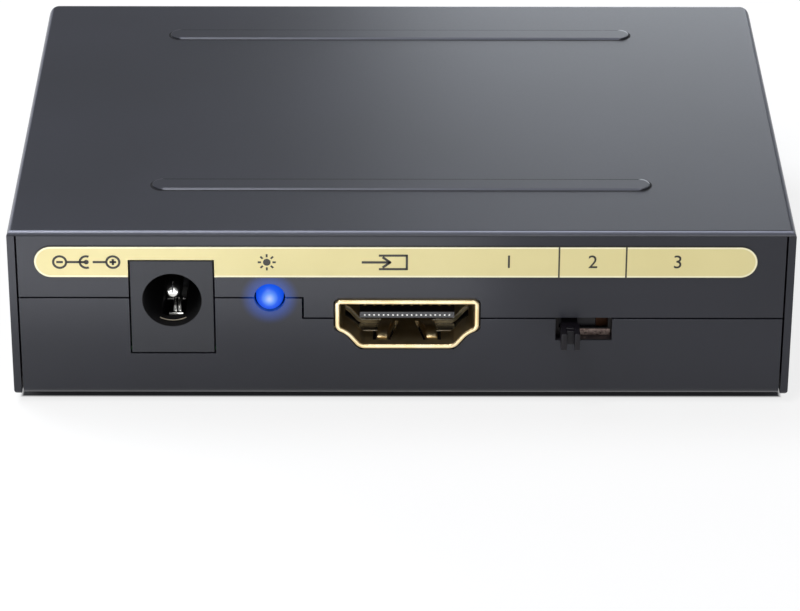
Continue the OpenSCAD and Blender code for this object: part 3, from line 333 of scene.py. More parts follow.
# %% Board finishes
chip_epoxy = finish("moulded_chip_epoxy", "chip_resin", "#1e1f22", "#26272a", 0.62, 0.1, 0.006,
                    patch_mm=2.0)
ferrite = finish("pressed_ferrite", "ferrite", "#303135", "#3c3d41", 0.7, 0.15, 0.01, patch_mm=1.5)
drawn_can = finish("drawn_aluminium_can", "can_aluminium", "#b4b7ba", "#cfd1d3", 0.28, 0.3, 0.002,
                   Metallic=1.0)
fired_ceramic = finish("fired_ceramic", "ceramic", "#a5835a", "#bb9868", 0.5, 0.08, 0.003,
                       patch_mm=0.6)
phenolic = finish("phenolic_paper_base", "phenolic", "#4c2d1a", "#643f27", 0.5, 0.15, 0.004,
                  patch_mm=0.8)

TRACK_PITCH, TRACK_GAP, TRACK_LENGTH = 1.27, 0.12, 7.1
solder_mask = finish("solder_mask_on_board", "board_laminate", "#1b5236", "#236643", 0.35, 0.3,
                     0.002)
mask_tree = solder_mask.node_tree
mask_place = mask_tree.nodes["Texture Coordinate"].outputs["Object"]
tracks = add(mask_tree, "TexBrick", {"Vector": mask_place, "Scale": 1.0,
                                     "Mortar Size": TRACK_GAP * MM,
                                     "Brick Width": TRACK_LENGTH * MM,
                                     "Row Height": TRACK_PITCH * MM, "Color1": linear("#1f5a3a"),
                                     "Color2": linear("#236643"), "Mortar": linear("#4f8f5c")})
feed(mask_tree.nodes[SHADER], {"Base Color": tracks})

# %% [markdown]
# ## The cream band
# The band is printed foil in a light gold, with a paler line along its edge and a fine dark
# outline. The line follows the round ends, so it is drawn by the distance from the band's middle
# line. Two thin dark dividers stand between the places of the three-way switch.

# %% Band finish
PALE_FROM, OUTLINE_FROM, DIVIDER_HALF_W = 0.86, 0.965, 0.09


def band_finish(name, node, dividers):
    """Printed foil whose edge lines follow a band node's outline, with dividers along X."""
    low, high = box_mm(node)
    half_w, radius = (high[0] - low[0]) / 2, (high[2] - low[2]) / 2
    material = finish(name, "band_foil", "#ddd093", "#e2d59a", 0.42, 0.3, 0.002, patch_mm=20.0,
                      Specular_IOR_Level=0.4)
    tree = material.node_tree
    centre = (middle(node, 0), 0, middle(node, 2))
    share = distance(tree, centre, half_w - radius, unit=radius)
    marks = [(add(tree, "Math", {0: share, 1: start}, operation="GREATER_THAN"), code)
             for start, code in ((PALE_FROM, "#f3ebc6"), (OUTLINE_FROM, "#3a3628"))]
    for x in dividers:
        aside = distance(tree, (x, 0, 0), flat=(1, 0, 0))
        marks.append((add(tree, "Math", {0: aside, 1: DIVIDER_HALF_W}, operation="LESS_THAN"),
                      "#3a3628"))
    colour = tree.nodes["Color Ramp"]
    for mark, code in marks:
        colour = add(tree, "Mix", {0: mark, COLOUR_A: colour, COLOUR_B: linear(code)},
                     data_type="RGBA")
    feed(tree.nodes[SHADER], {"Base Color": colour})
    return material


front_foil = band_finish("printed_foil_front", "front_label", (16.6, 23.68))
back_foil = band_finish("printed_foil_back", "back_label", ())
band_ink = finish("printed_dark_ink", "band_foil", "#26231b", "#2e2a20", 0.5, 0.2, 0.001)

# %% [markdown]
# ## The lit lamp
# A 3 mm lamp with a milky blue lens shows a hot, nearly white middle that falls off to deep blue at
# its rim. Its brightness is painted by the distance from an axis a little above the lens's own,
# because the chip inside is seen through the dome from above.

# %% Lamp finish
GLOW_UP, GLOW_R = 0.3, 1.7
lit_lens = finish("lit_blue_lens", "lens_plastic", "#06143c", "#081a4a", 0.4, 0.3, 0.001,
                  Specular_IOR_Level=0.2)
lens_tree = lit_lens.node_tree
from_chip = distance(lens_tree, (LAMP_X, 0, LAMP_Z + GLOW_UP), unit=GLOW_R)
glow = add(lens_tree, "ValToRGB", {"Fac": from_chip})
stops(glow, (0.05, "#b4c8ff"), (0.32, "#6496f4"), (0.55, "#1c5cec"), (0.82, "#0f4cdc"),
      (1.0, "#0434a8"))
feed(lens_tree.nodes[SHADER], {"Emission Color": glow, "Emission Strength": 1.0})

# %% [markdown]
# ## Helpers for shapes
# A few moves come back in every piece: a box between two corners, an outline spun about its axis, a
# strip bent along a path, and the small rounding that tools and plating leave on every edge. They
# are the usual bmesh operators with this object's habits built in.

# %% Shape helpers
ROUND = {"profile": 0.5, "material": -1, "clamp_overlap": True}
SHARP, SMOOTH = radians(35), radians(40)


def block(bm, low, high):
    """A box between two opposite corners."""
    new = bmesh.ops.create_cube(bm, size=1.0)["verts"]
    bmesh.ops.scale(bm, vec=[abs(b - a) for a, b in zip(low, high)], verts=new)
    bmesh.ops.translate(bm, vec=[(a + b) / 2 for a, b in zip(low, high)], verts=new)
    return new


def boxes(*corners):
    """A new drawing with a box for each pair of corners."""
    bm = bmesh.new()
    for low, high in corners:
        block(bm, low, high)
    return bm


def turn(bm, outline, steps=64, closed=True):
    """Spins an outline of (radius, depth) points about the Y axis."""
    verts = [bm.verts.new((r, y, 0)) for r, y in outline]
    pairs = list(zip(verts, verts[1:])) + ([(verts[-1], verts[0])] if closed else [])
    edges = [bm.edges.new(pair) for pair in pairs]
    bmesh.ops.spin(bm, geom=verts + edges, axis=(0, 1, 0), angle=2 * pi, steps=steps,
                   use_merge=True)
    bmesh.ops.remove_doubles(bm, verts=bm.verts, dist=1e-5)


def grow(bm, geom, vec):
    """Moves the corners of what an extrusion has made."""
    bmesh.ops.translate(bm, vec=vec, verts=[g for g in geom if isinstance(g, bmesh.types.BMVert)])


def sheet(bm, points, sweep, thickness):
    """A sheet swept from a row of points along a vector, with a thickness."""
    verts = [bm.verts.new(point) for point in points]
    edges = [bm.edges.new(pair) for pair in zip(verts, verts[1:])]
    grown = bmesh.ops.extrude_edge_only(bm, edges=edges)["geom"]
    grow(bm, grown, sweep)
    faces = [g for g in grown if isinstance(g, bmesh.types.BMFace)]
    bmesh.ops.solidify(bm, geom=faces, thickness=thickness)


def bent_strip(bm, path, left, right, thickness):
    """A strip along a path of (depth, height) points, from left to right."""
    sheet(bm, [(left, y, z) for y, z in path], (right - left, 0, 0), thickness)


def soften(bm, width, segments=2):
    """Rounds the edges whose faces meet sharply."""
    bmesh.ops.recalc_face_normals(bm, faces=bm.faces)
    sharp = [e for e in bm.edges if len(e.link_faces) == 2 and e.calc_face_angle(0) > SHARP]
    bmesh.ops.bevel(bm, geom=sharp, offset=width, affect="EDGES", segments=segments, **ROUND)


def made(name, bm, material, place=Matrix(), body="case", stands_for=()):
    """Carries a drawing in millimetres to its place and makes it a piece that rides on a body."""
    bmesh.ops.remove_doubles(bm, verts=bm.verts, dist=1e-5)
    bmesh.ops.recalc_face_normals(bm, faces=bm.faces)
    bmesh.ops.transform(bm, matrix=Matrix.Scale(MM, 4) @ place, verts=bm.verts, space=Matrix())
    mesh = bpy.data.meshes.new(name)
    bm.to_mesh(mesh)
    bm.free()
    mesh.shade_smooth()
    mesh.set_sharp_from_angle(angle=SMOOTH)
    mesh.materials.append(material)
    piece = in_scene(name, mesh)
    even = piece.modifiers.new("even_normals", "WEIGHTED_NORMAL")
    even.weight, even.keep_sharp = 90, True
    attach(piece, body)
    if stands_for:
        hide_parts(*stands_for)
    print(name, len(mesh.polygons), "faces")


# %% [markdown]
# Slots and windows are easiest to cut with a second solid. A Boolean modifier takes the cutter
# away, and the result is read back into the drawing.

# %% A cutter
def final_mesh(thing):
    """A copy of the mesh that an object shows, with its modifiers at work."""
    graph = bpy.context.evaluated_depsgraph_get()
    return bpy.data.meshes.new_from_object(thing.evaluated_get(graph))


def cut_by(bm, cutter):
    """Takes a cutter's solid away from a drawing, and frees the cutter."""
    objects = []
    for label, source in (("cut_body", bm), ("cut_tool", cutter)):
        bmesh.ops.recalc_face_normals(source, faces=source.faces)
        mesh = bpy.data.meshes.new(label)
        source.to_mesh(mesh)
        objects.append(in_scene(label, mesh))
    difference = objects[0].modifiers.new("difference", "BOOLEAN")
    difference.operation, difference.solver = "DIFFERENCE", "EXACT"
    difference.object, difference.use_self = objects[1], True
    result = final_mesh(objects[0])
    bm.clear()
    bm.from_mesh(result)
    cutter.free()
    for leftover in objects:
        bpy.data.objects.remove(leftover)


# %% [markdown]
# ## Cover and tray
# Both are bent steel, and their solids are right as they are. What the CAD mesh lacks is the soft
# edge that a press and a coat of paint leave. So the mesh is copied, its loose triangles are
# merged, flat faces are joined again, and a tenth of a millimetre is rounded off every edge. The
# cover's ribs are also pressed a little lower and crisper, as their thin light line in the
# photograph asks.

# %% Soft-edged copies of the CAD
RIB_H, PRESSED_H, PRESSED_OUT, NEAR = 0.35, 0.17, 0.2, 0.1


def press_ribs(bm):
    """Gives the cover's ribs the low, crisp shape of the photographed ones."""
    top = max(v.co.z for v in bm.verts) - RIB_H
    for vert in [v for v in bm.verts if v.co.z > top + NEAR]:
        rib_y = min(RIB_YS, key=lambda y: abs(vert.co.y - y))
        nearest = Vector((max(-RIB_HALF_L, min(RIB_HALF_L, vert.co.x)), rib_y, vert.co.z))
        outward = vert.co - nearest
        if outward.length > NEAR:
            vert.co += outward.normalized() * PRESSED_OUT
        vert.co.z = top + PRESSED_H


def soft_copy(name, node, material, width, body="case", reshape=None):
    """A copy of a node with merged triangles and rounded edges."""
    bm = bmesh.new()
    bm.from_mesh(nodes[node].data)
    bmesh.ops.scale(bm, vec=(1 / MM, 1 / MM, 1 / MM), verts=bm.verts)
    bmesh.ops.remove_doubles(bm, verts=bm.verts, dist=1e-3)
    bmesh.ops.dissolve_limit(bm, angle_limit=radians(0.5), use_dissolve_boundaries=False,
                             verts=bm.verts, edges=bm.edges, delimit=set())
    if reshape:
        reshape(bm)
    soften(bm, width)
    made(name, bm, material, body=body, stands_for=[node])


soft_copy("painted_cover", "top_cover", satin_lacquer, 0.08, reshape=press_ribs)
soft_copy("painted_tray", "bottom_tray", satin_lacquer, 0.08)

# %% [markdown]
# ## Feet
# A stick-on foot is moulded rubber with a rounded tread and two shallow rings in it. One outline is
# spun into a foot, and the rings are part of the outline.

# %% Feet
FOOT_R = 4.0
foot_low, foot_high = box_mm("rubber_feet")
foot_x, foot_y = foot_high[0] - FOOT_R, (foot_high[1] - foot_low[1]) / 2 - FOOT_R
for number, (x, y) in enumerate([(-1, -1), (1, -1), (-1, 1), (1, 1)], 1):
    foot = bmesh.new()
    turn(foot, [(0, 0), (1.2, 0), (1.3, 0.12), (1.7, 0.12), (1.8, 0), (2.6, 0), (2.7, 0.12),
                (3.1, 0.12), (3.2, 0), (3.62, 0), (3.9, 0.12), (FOOT_R, 0.4), (FOOT_R, 1.0),
                (0, 1.0)], closed=False)
    place = Matrix.Translation((foot_x * x, middle("rubber_feet", 1) + foot_y * y, 0))
    made("rubber_foot_%d" % number, foot, rubber, place @ Matrix.Rotation(pi / 2, 4, "X"),
         stands_for=["rubber_feet"])

# %% [markdown]
# ## Power jack
# The jack's moulded block is flush with the panel. In its bore stands a nickel pin with a slit tip,
# and below it a springy leaf stands up out of its slot: a hook in front, then two prongs that arch
# and catch the light. A ring of round wire lies at the bore's mouth. The pin and the ring are spun,
# a cutter takes the slit out of the pin's tip, and the leaf is a strip bent along a path.

# %% Power jack
soft_copy("jack_block", "jack_housing", jack_nylon, 0.1)
jack_place = at_front(JACK_X, JACK_Z)

pin = bmesh.new()
turn(pin, [(0, 1.6), (0.36, 1.6), (0.5, 1.64), (0.75, 1.84), (0.92, 2.15), (1, 2.6), (1, 14.6),
           (1.5, 14.6), (1.5, 15.0), (0, 15.0)], steps=48, closed=False)
cut_by(pin, boxes(((-0.06, 1.5, 0.05), (0.06, 2.4, 1.3))))
made("jack_slit_pin", pin, nickel, jack_place, stands_for=["jack_pin"])
# Black blocks in the pin's slit and under the housing are painted shade.
made("jack_painted_shade_blocks", boxes(((-0.06, 1.72, 0.05), (0.06, 2.4, 0.88)),
                              ((-1.4, 0.9, -5.4), (1.4, 12.0, -5.0))), knob_nylon, jack_place)

PRONG_W = 0.34
leaf = bmesh.new()
for left in (-0.1, 0.36):
    bent_strip(leaf, [(3.9, -3.5), (4.1, -3.2), (4.55, -2.6), (4.95, -2.25), (5.3, -2.15),
                      (6.4, -2.7), (8.4, -4.2)], left, left + PRONG_W, 0.2)
bent_strip(leaf, [(8.4, -4.2), (10.0, -4.7), (12.1, -4.7)], -1.0, 1.0, 0.25)
block(leaf, (-1.0, 12.0, -10.4), (1.0, 12.3, -4.7))
bent_strip(leaf, [(2.45, -4.4), (2.45, -3.1), (2.55, -2.85), (2.75, -2.78), (2.95, -2.9),
                  (3.1, -3.6), (4.0, -3.6)], -0.5, 1.0, 0.2)
soften(leaf, 0.05)
made("jack_leaf", leaf, nickel, jack_place, stands_for=["jack_spring"])

wire_ring = bmesh.new()
wire = bmesh.ops.create_circle(wire_ring, cap_ends=True, segments=12, radius=0.07)["verts"]
bmesh.ops.translate(wire_ring, vec=(-3.0, 1.15, 0), verts=wire)
bmesh.ops.rotate(wire_ring, matrix=Matrix.Rotation(-radians(62), 3, "Y"), verts=wire)
bmesh.ops.spin(wire_ring, geom=wire_ring.faces[:], axis=(0, -1, 0), angle=radians(56), steps=28)
made("jack_wire_ring", wire_ring, bare_edge, jack_place)

# %% [markdown]
# ## Lamp
# The lens is a rod of clear blue resin with a round end and a collar that rests on its holder. Its
# outline is spun, with enough points on the dome for a smooth highlight.

# %% Lamp
LENS_R, DOME_STEPS = 1.48, 10
lens = bmesh.new()
dome = [(LENS_R * sin(a), 0.6 - 1.5 * cos(a))
        for a in [i * pi / 2 / DOME_STEPS for i in range(DOME_STEPS + 1)]]
turn(lens, dome + [(LENS_R, 1.2), (1.5, 1.3), (1.5, 3.2), (1.9, 3.2), (1.9, 4.2), (0, 4.2)],
     closed=False)
made("lamp_dome", lens, lit_lens, at_front(LAMP_X, LAMP_Z), stands_for=["lamp_lens"])

# %% [markdown]
# ## Slide switch
# Behind the notch sits a can of steel with a slot, coloured near-black as painted shade. The
# slider's stem passes through the slot and carries a square knob with two ridges and a groove
# between them, for a fingernail. The knob is one moulding: its blocks are put together and their
# edges are rounded. Under the slot a strip of tinned contact metal shows, in a darker, browner tin,
# and a thin black plate on the notch floor is painted shade.

# %% Switch
SWITCH_X, KNOB_Z, NOTCH_LOW = middle("switch_frame", 0), middle("switch_slider", 2), -1.2
HALF_TRAVEL, KNOB_LOW, KNOB_HIGH, RIDGE_Y = 1.5, -1.12, 0.82, -2.6
switch_place = at_front(SWITCH_X, KNOB_Z)

slider = boxes(((-2.85, 1.55, -1.5), (2.85, 3.5, 1.5)),
               ((-0.85, -1.1, -0.22), (0.85, 1.6, 0.78)),
               ((-1.0, RIDGE_Y, KNOB_LOW), (-0.38, -0.1, KNOB_HIGH)),
               ((0.42, RIDGE_Y, KNOB_LOW), (1.0, -0.1, KNOB_HIGH)),
               ((-0.5, -1.5, KNOB_LOW + 0.12), (0.5, -0.1, KNOB_HIGH - 0.2)))
soften(slider, 0.09, segments=3)
made("switch_knob_piece", slider, knob_nylon, at_front(SWITCH_X - HALF_TRAVEL, KNOB_Z),
     body="switch_knob", stands_for=["switch_slider"])

CAN_X, CAN_Z, CAN_FRONT, CAN_BACK = 4.8, 2.6, 1.1, 4.9
IN_X, IN_Z, IN_FRONT = 4.45, 2.25, 1.4
SLOT_X, SLOT_LOW, SLOT_HIGH = 2.62, -0.32, 0.9
can = boxes(((-CAN_X, CAN_FRONT, -CAN_Z), (CAN_X, IN_FRONT, SLOT_LOW)),
            ((-CAN_X, CAN_FRONT, SLOT_HIGH), (CAN_X, IN_FRONT, CAN_Z)),
            ((-CAN_X, IN_FRONT, IN_Z), (CAN_X, CAN_BACK, CAN_Z)),
            ((-CAN_X, IN_FRONT, -CAN_Z), (CAN_X, CAN_BACK, -IN_Z)))
for side in (-1, 1):
    block(can, (side * CAN_X, CAN_FRONT, SLOT_LOW), (side * SLOT_X, IN_FRONT, SLOT_HIGH))
    block(can, (side * CAN_X, IN_FRONT, -IN_Z), (side * IN_X, CAN_BACK, IN_Z))
    block(can, (side * CAN_X, 2.4, -5.4), (side * IN_X, 3.6, -2.5))
made("switch_can", can, can_steel_painted_dark, switch_place, stands_for=["switch_frame"])

strip = boxes(((-2.4, 1.0, -1.28), (2.9, 1.12, -0.42)))
soften(strip, 0.04)
made("switch_wiper_strip", strip, brownish_tin, switch_place)
# A thin black plate on the notch floor: painted shade.
made("switch_notch_shade_plate", boxes(((-2.97, 0.03, NOTCH_LOW), (2.97, 1.05, NOTCH_LOW + 0.04))),
     knob_nylon, switch_place)

# %% [markdown]
# ## Video sockets
# Both sockets are the same part. The shell is a stamped tube with a rounded lip: its outline is one
# face whose corners are rounded, an inset makes the wall, and an extrusion makes the depth. Windows
# and U-shaped slots are cut in its floor, where the real shell has its springs, and their sheared
# edges are left bare. A dark liner behind the windows is painted shade and keeps the board out of
# sight. The tongue of black nylon has a nose plate of paler nylon, a painted lit front face, and
# carries nineteen contacts whose ends show as a row of dots.

# %% Video socket shell
HALF_W, FULL_H, LIFT, LIP_Y, SHELL_DEPTH, SLOT_OUT = 7.65, 5.8, 0.67, -0.4, 11.4, 2.68
CORNERS = [(0.665, 0.0), (0.85, 0.30), (1.0, 0.385), (1.0, 1.0)]


def socket_outline(bm, y, inset, keep_rim):
    """The socket's rounded outline at a depth: the rim that an inset leaves, or what is in it."""
    right = [(x * HALF_W, z * FULL_H + LIFT) for x, z in CORNERS]
    points = right + [(-x, z) for x, z in reversed(right)]
    face = bm.faces.new([bm.verts.new((x, y, z)) for x, z in points])
    bmesh.ops.bevel(bm, geom=face.verts[:], offset=0.58, affect="VERTICES", segments=5, **ROUND)
    rim = bmesh.ops.inset_region(bm, faces=bm.faces[:], thickness=inset, depth=0.0,
                                 use_boundary=True, use_even_offset=True)["faces"]
    bmesh.ops.delete(bm, geom=[f for f in bm.faces if (f in rim) != keep_rim], context="FACES")
    return bm.faces[:]


def u_slot(side):
    """The cutter of the slot round a floor spring, on one side."""
    bm = boxes(((-0.95, 0.75, -0.3), (0.95, 1.2, 0.8)), ((-0.95, 1.0, -0.3), (-0.6, 3.0, 0.8)))
    for v in block(bm, (0.55, 1.0, -0.3), (0.95, 5.0, 0.8)):
        v.co.x += 0.22 * (v.co.y - 1.0)
    bmesh.ops.scale(bm, vec=(-side, 1, 1), verts=bm.verts)
    bmesh.ops.translate(bm, vec=(side * SLOT_OUT, 0, LIFT), verts=bm.verts)
    bmesh.ops.recalc_face_normals(bm, faces=bm.faces)
    mesh = bpy.data.meshes.new("u_slot")
    bm.to_mesh(mesh)
    bm.free()
    return mesh


def socket_shell(name, place, node):
    """The gold-flashed tube with its lip, windows, U slots and legs."""
    bm = bmesh.new()
    rim = socket_outline(bm, LIP_Y, 0.5, keep_rim=True)
    grow(bm, bmesh.ops.extrude_face_region(bm, geom=rim)["geom"], (0, SHELL_DEPTH, 0))
    bmesh.ops.recalc_face_normals(bm, faces=bm.faces)
    lip = [e for e in bm.edges if all(abs(v.co.y - LIP_Y) < 1e-4 for v in e.verts)
           and len({round(abs(f.normal.y), 2) for f in e.link_faces}) > 1]
    bmesh.ops.bevel(bm, geom=lip, offset=0.2, affect="EDGES", segments=3, **ROUND)
    cutter = bmesh.new()
    for side in (-1, 1):
        block(cutter, (side * 2.7, 2.85, LIFT - 0.3), (side * 7.0, 5.37, LIFT + 2.3))
        cutter.from_mesh(u_slot(side))
    cut_by(bm, cutter)
    for side in (-1, 1):
        for y in (2.2, 8.25):
            block(bm, (side * 7.4 - 0.24, y - 0.6, -2.6), (side * 7.4 + 0.24, y + 0.6, LIFT + 3.2))
    made(name, bm, gold_flash, place, stands_for=[node])


front_video = at_front(middle("video_in_shell", 0))
back_video = at_back(middle("video_out_shell", 0))
socket_shell("video_in_gold_shell", front_video, "video_in_shell")
socket_shell("video_out_gold_shell", back_video, "video_out_shell")

# %% [markdown]
# The nylon insert closes the back of the shell and reaches forward as a tongue. Each contact is a
# thin gold strip let into the tongue's upper or lower face, whose front end is turned in and shows
# as a dot in the middle of the tongue's nose. The floor springs stand up between the arms of the U
# slots, as strips bent along a low arch.

# %% Tongue, contacts and springs
TONGUE_Z, NOSE, TONGUE_X, CONTACTS, PITCH, SPLAY = LIFT + 3.58, 0.37, 5.05, 19, 0.5, 0.11


def rail(bm, points, y, half):
    """A thin round-edged bead along a path of (x, height) points at one depth."""
    angles = [i * pi / 4 for i in range(8)]
    rings = [[bm.verts.new((x, y + half * cos(a), z + half * sin(a))) for a in angles]
             for x, z in points]
    for a, b in zip(rings, rings[1:]):
        for i in range(8):
            bm.faces.new((a[i], a[(i + 1) % 8], b[(i + 1) % 8], b[i]))
    bm.faces.new(rings[0])
    bm.faces.new(rings[-1])


def socket_inside(prefix, place):
    """The nylon insert, its contacts, and the springs in the shell's floor."""
    plug = bmesh.new()
    end = socket_outline(plug, 8.6, 0.53, keep_rim=False)
    grow(plug, bmesh.ops.extrude_face_region(plug, geom=end)["geom"], (0, 2.4, 0))
    block(plug, (-TONGUE_X, 0.66, TONGUE_Z - NOSE), (TONGUE_X, 9.0, TONGUE_Z + NOSE))
    soften(plug, 0.06)
    made(prefix + "_tongue", plug, knob_nylon, place, stands_for=[prefix + "_insulator"])
    # The nose plate's paler nylon is painted light on the tongue's front face.
    nose = boxes(((0.02 - TONGUE_X, 0.6, TONGUE_Z - NOSE + 0.02),
                  (TONGUE_X - 0.02, 0.72, TONGUE_Z + NOSE - 0.02)))
    soften(nose, 0.05)
    made(prefix + "_tongue_nose", nose, lit_nose_nylon, place)
    strips, ends = bmesh.new(), bmesh.new()
    for i in range(CONTACTS):
        x, side = (i - CONTACTS // 2) * PITCH, 1 if i % 2 == 0 else -1
        far = 11 + (1.2 if side > 0 else 0.6)
        face = TONGUE_Z + side * NOSE
        block(strips, (x - 0.12, 2.1, face - 0.04), (x + 0.12, far, face + 0.04))
        block(strips, (x - 0.12, far - 0.12, 0), (x + 0.12, far, face + 0.04))
        block(ends, (x - 0.085, 0.57, TONGUE_Z - 0.085), (x + 0.085, 0.8, TONGUE_Z + 0.085))
    made(prefix + "_contact_strips", strips, gold_contact, place, stands_for=[prefix + "_contacts"])
    made(prefix + "_contact_ends", ends, nickel, place, stands_for=[prefix + "_contacts"])
    # A dark sheet behind the floor windows: painted shade.
    shade_liner = bmesh.new()
    wall = [(5.25, -0.15), (6.9, 1.35), (7.9, 1.9), (7.9, 4.6)]
    sheet(shade_liner, [(x, 1.4, z + LIFT) for x, z in [(-x, z) for x, z in wall[::-1]] + wall],
          (0, 7.0, 0), 0.2)
    made(prefix + "_liner", shade_liner, knob_nylon, place)
    edges, springs = bmesh.new(), bmesh.new()
    for y in (2.82, 5.34):
        for side in (-1, 1):
            rail(edges, [(side * x, z + LIFT) for x, z in (
                (2.75, 0.5), (4.9, 0.5), (6.2, 1.85), (7.05, 2.3), (7.12, 3.6))], y, 0.085)
    made(prefix + "_window_edges", edges, bare_edge, place)
    for side in (-1, 1):
        before = len(springs.verts)
        bent_strip(springs, [(1.25, 0.55), (1.6, 0.75), (2.4, 1.15), (3.6, 1.0), (5.2, 0.5)],
                   -0.5, 0.5, 0.2)
        springs.verts.ensure_lookup_table()
        for v in springs.verts[before:]:
            lean_out = SPLAY * (v.co.y - 1)
            v.co.x = side * (SLOT_OUT - v.co.x * (1 + lean_out) - lean_out)
            v.co.z += LIFT
    soften(springs, 0.04)
    made(prefix + "_floor_springs", springs, gold_flash, place)


socket_inside("video_in", front_video)
socket_inside("video_out", back_video)

# %% [markdown]
# ## Optical socket
# A square nylon housing with a sprung shutter that keeps dust out. The housing and the shutter are
# soft-edged copies. The return spring is a real coil: a small circle is spun about the pin while it
# climbs by one wire at each turn.

# %% Optical socket
soft_copy("optical_body", "optical_housing", black_nylon, 0.12)
soft_copy("optical_flap", "optical_shutter", black_nylon, 0.08, body="shutter")

HINGE_Y, HINGE_Z, WIRE, TURNS, COIL_R, TURN_STEPS = 1.0, 7.9, 0.16, 6, 0.42, 24
coil = bmesh.new()
ring = bmesh.ops.create_circle(coil, cap_ends=False, segments=8, radius=WIRE / 2)["verts"]
bmesh.ops.rotate(coil, matrix=Matrix.Rotation(pi / 2, 3, "X"), verts=ring)
bmesh.ops.translate(coil, vec=(-TURNS * WIRE / 2, 0, -COIL_R), verts=ring)
bmesh.ops.spin(coil, geom=coil.verts[:] + coil.edges[:], axis=(1, 0, 0), angle=2 * pi * TURNS,
               dvec=(WIRE * 1.02 / TURN_STEPS, 0, 0), steps=TURN_STEPS * TURNS)
bmesh.ops.holes_fill(coil, edges=coil.edges)
block(coil, (-0.08, 0.4, -2.4), (0.08, 0.56, 0.0))
hinge = at_back(middle("optical_housing", 0)) @ Matrix.Translation((0, HINGE_Y, HINGE_Z))
made("shutter_coil", coil, nickel, hinge, body="shutter", stands_for=["shutter_spring"])

# %% [markdown]
# ## Audio sockets
# Each is a turned brass sleeve with a gold flash round a coloured insert, white for the left
# channel and red for the right. The sleeve's lip is rolled, and the insert has a raised ring
# round the hole for the plug's pin. Both are outlines spun about the socket's axis.

# %% Audio sockets
soft_copy("audio_block", "rca_block", black_nylon, 0.15)
for channel, insert_material in (("left", white_plastic), ("right", red_plastic)):
    socket = "rca_%s_" % channel
    axis = at_back(middle(socket + "insert", 0), middle(socket + "insert", 2))
    sleeve = bmesh.new()
    turn(sleeve, [(3.75, -8.8), (3.82, -8.93), (3.95, -9.0), (4.06, -8.95), (4.15, -8.75),
                  (4.15, -2.6), (4.08, -2.45), (4.08, -2.2), (4.15, -2.05), (4.15, -0.3),
                  (3.75, -0.3), (3.75, 2.6), (3.35, 2.6), (3.35, -0.7), (3.75, -0.7)], steps=96)
    block(sleeve, (-1.2, 1.2, -8.6), (1.2, 1.6, -3.5))
    made("audio_%s_gold_sleeve" % channel, sleeve, gold_flash, axis, stands_for=[socket + "sleeve"])
    insert = bmesh.new()
    turn(insert, [(1.65, -8.5), (1.72, -8.62), (2.3, -8.62), (2.42, -8.5), (3.5, -8.5),
                  (3.72, -8.35), (3.72, -0.73), (3.32, -0.73), (3.32, 2.6), (0.83, 2.6),
                  (0.83, 0.1), (1.23, 0.1), (1.23, -0.5), (1.65, -0.5)], steps=96)
    made("audio_%s_insert" % channel, insert, insert_material, axis, stands_for=[socket + "insert"])

# %% [markdown]
# ## Signs on the bands
# The printed words are left out. In their places stand plain signs of the same height: the polarity
# sign of a barrel plug, a lamp, an arrow into a frame, and the numbers 1 to 3 for the three places
# of the switch. Ink lies on the foil as a film, so each sign is a very thin solid.

# %% Signs
INK, FOIL, LINE, BOLD, RING_R, PLUS_R = 0.03, 0.1, 0.24, 0.26, 0.68, 0.35


def stroke(bm, start, end, width=LINE):
    """A straight stroke of ink with square ends, between two points of the panel."""
    a, b = Vector(start), Vector(end)
    new = block(bm, (0, -INK, -width / 2), ((b - a).length, 0, width / 2))
    turn_by = Matrix.Rotation(-atan2(b.y - a.y, b.x - a.x), 3, "Y")
    bmesh.ops.rotate(bm, matrix=turn_by, verts=new)
    bmesh.ops.translate(bm, vec=(a.x, 0, a.y), verts=new)


def hoop(bm, x, radius=RING_R, angle=2 * pi, start=0.0):
    """A ring or an arc of ink on the band's middle line."""
    inner, outer = radius - LINE / 2, radius + LINE / 2
    before = set(bm.verts)
    verts = [bm.verts.new((r, y, 0))
             for r, y in ((inner, 0), (outer, 0), (outer, -INK), (inner, -INK))]
    edges = [bm.edges.new((verts[i], verts[(i + 1) % 4])) for i in range(4)]
    bmesh.ops.rotate(bm, matrix=Matrix.Rotation(-start, 3, "Y"), verts=verts)
    bmesh.ops.spin(bm, geom=verts + edges, axis=(0, -1, 0), angle=angle, steps=40,
                   use_merge=angle == 2 * pi)
    fresh = [v for v in bm.verts if v not in before]
    bmesh.ops.translate(bm, vec=(x, 0, 0), verts=fresh)
    bmesh.ops.holes_fill(bm, edges=[e for e in bm.edges if e.is_boundary])


def dot(bm, x, radius):
    """A round spot of ink on the band's middle line."""
    disc = bmesh.ops.create_cone(bm, cap_ends=True, segments=32, radius1=radius, radius2=radius,
                                 depth=INK)["verts"]
    bmesh.ops.rotate(bm, matrix=Matrix.Rotation(pi / 2, 3, "X"), verts=disc)
    bmesh.ops.translate(bm, vec=(x, -INK / 2, 0), verts=disc)


def arrow(bm, tail, end, wings, tip):
    """An arrow that points along X, given by its places along it."""
    stroke(bm, (tail, 0), (end, 0), BOLD)
    for side in (1, -1):
        stroke(bm, (wings, side * 0.62), (tip, -side * 0.05), BOLD)


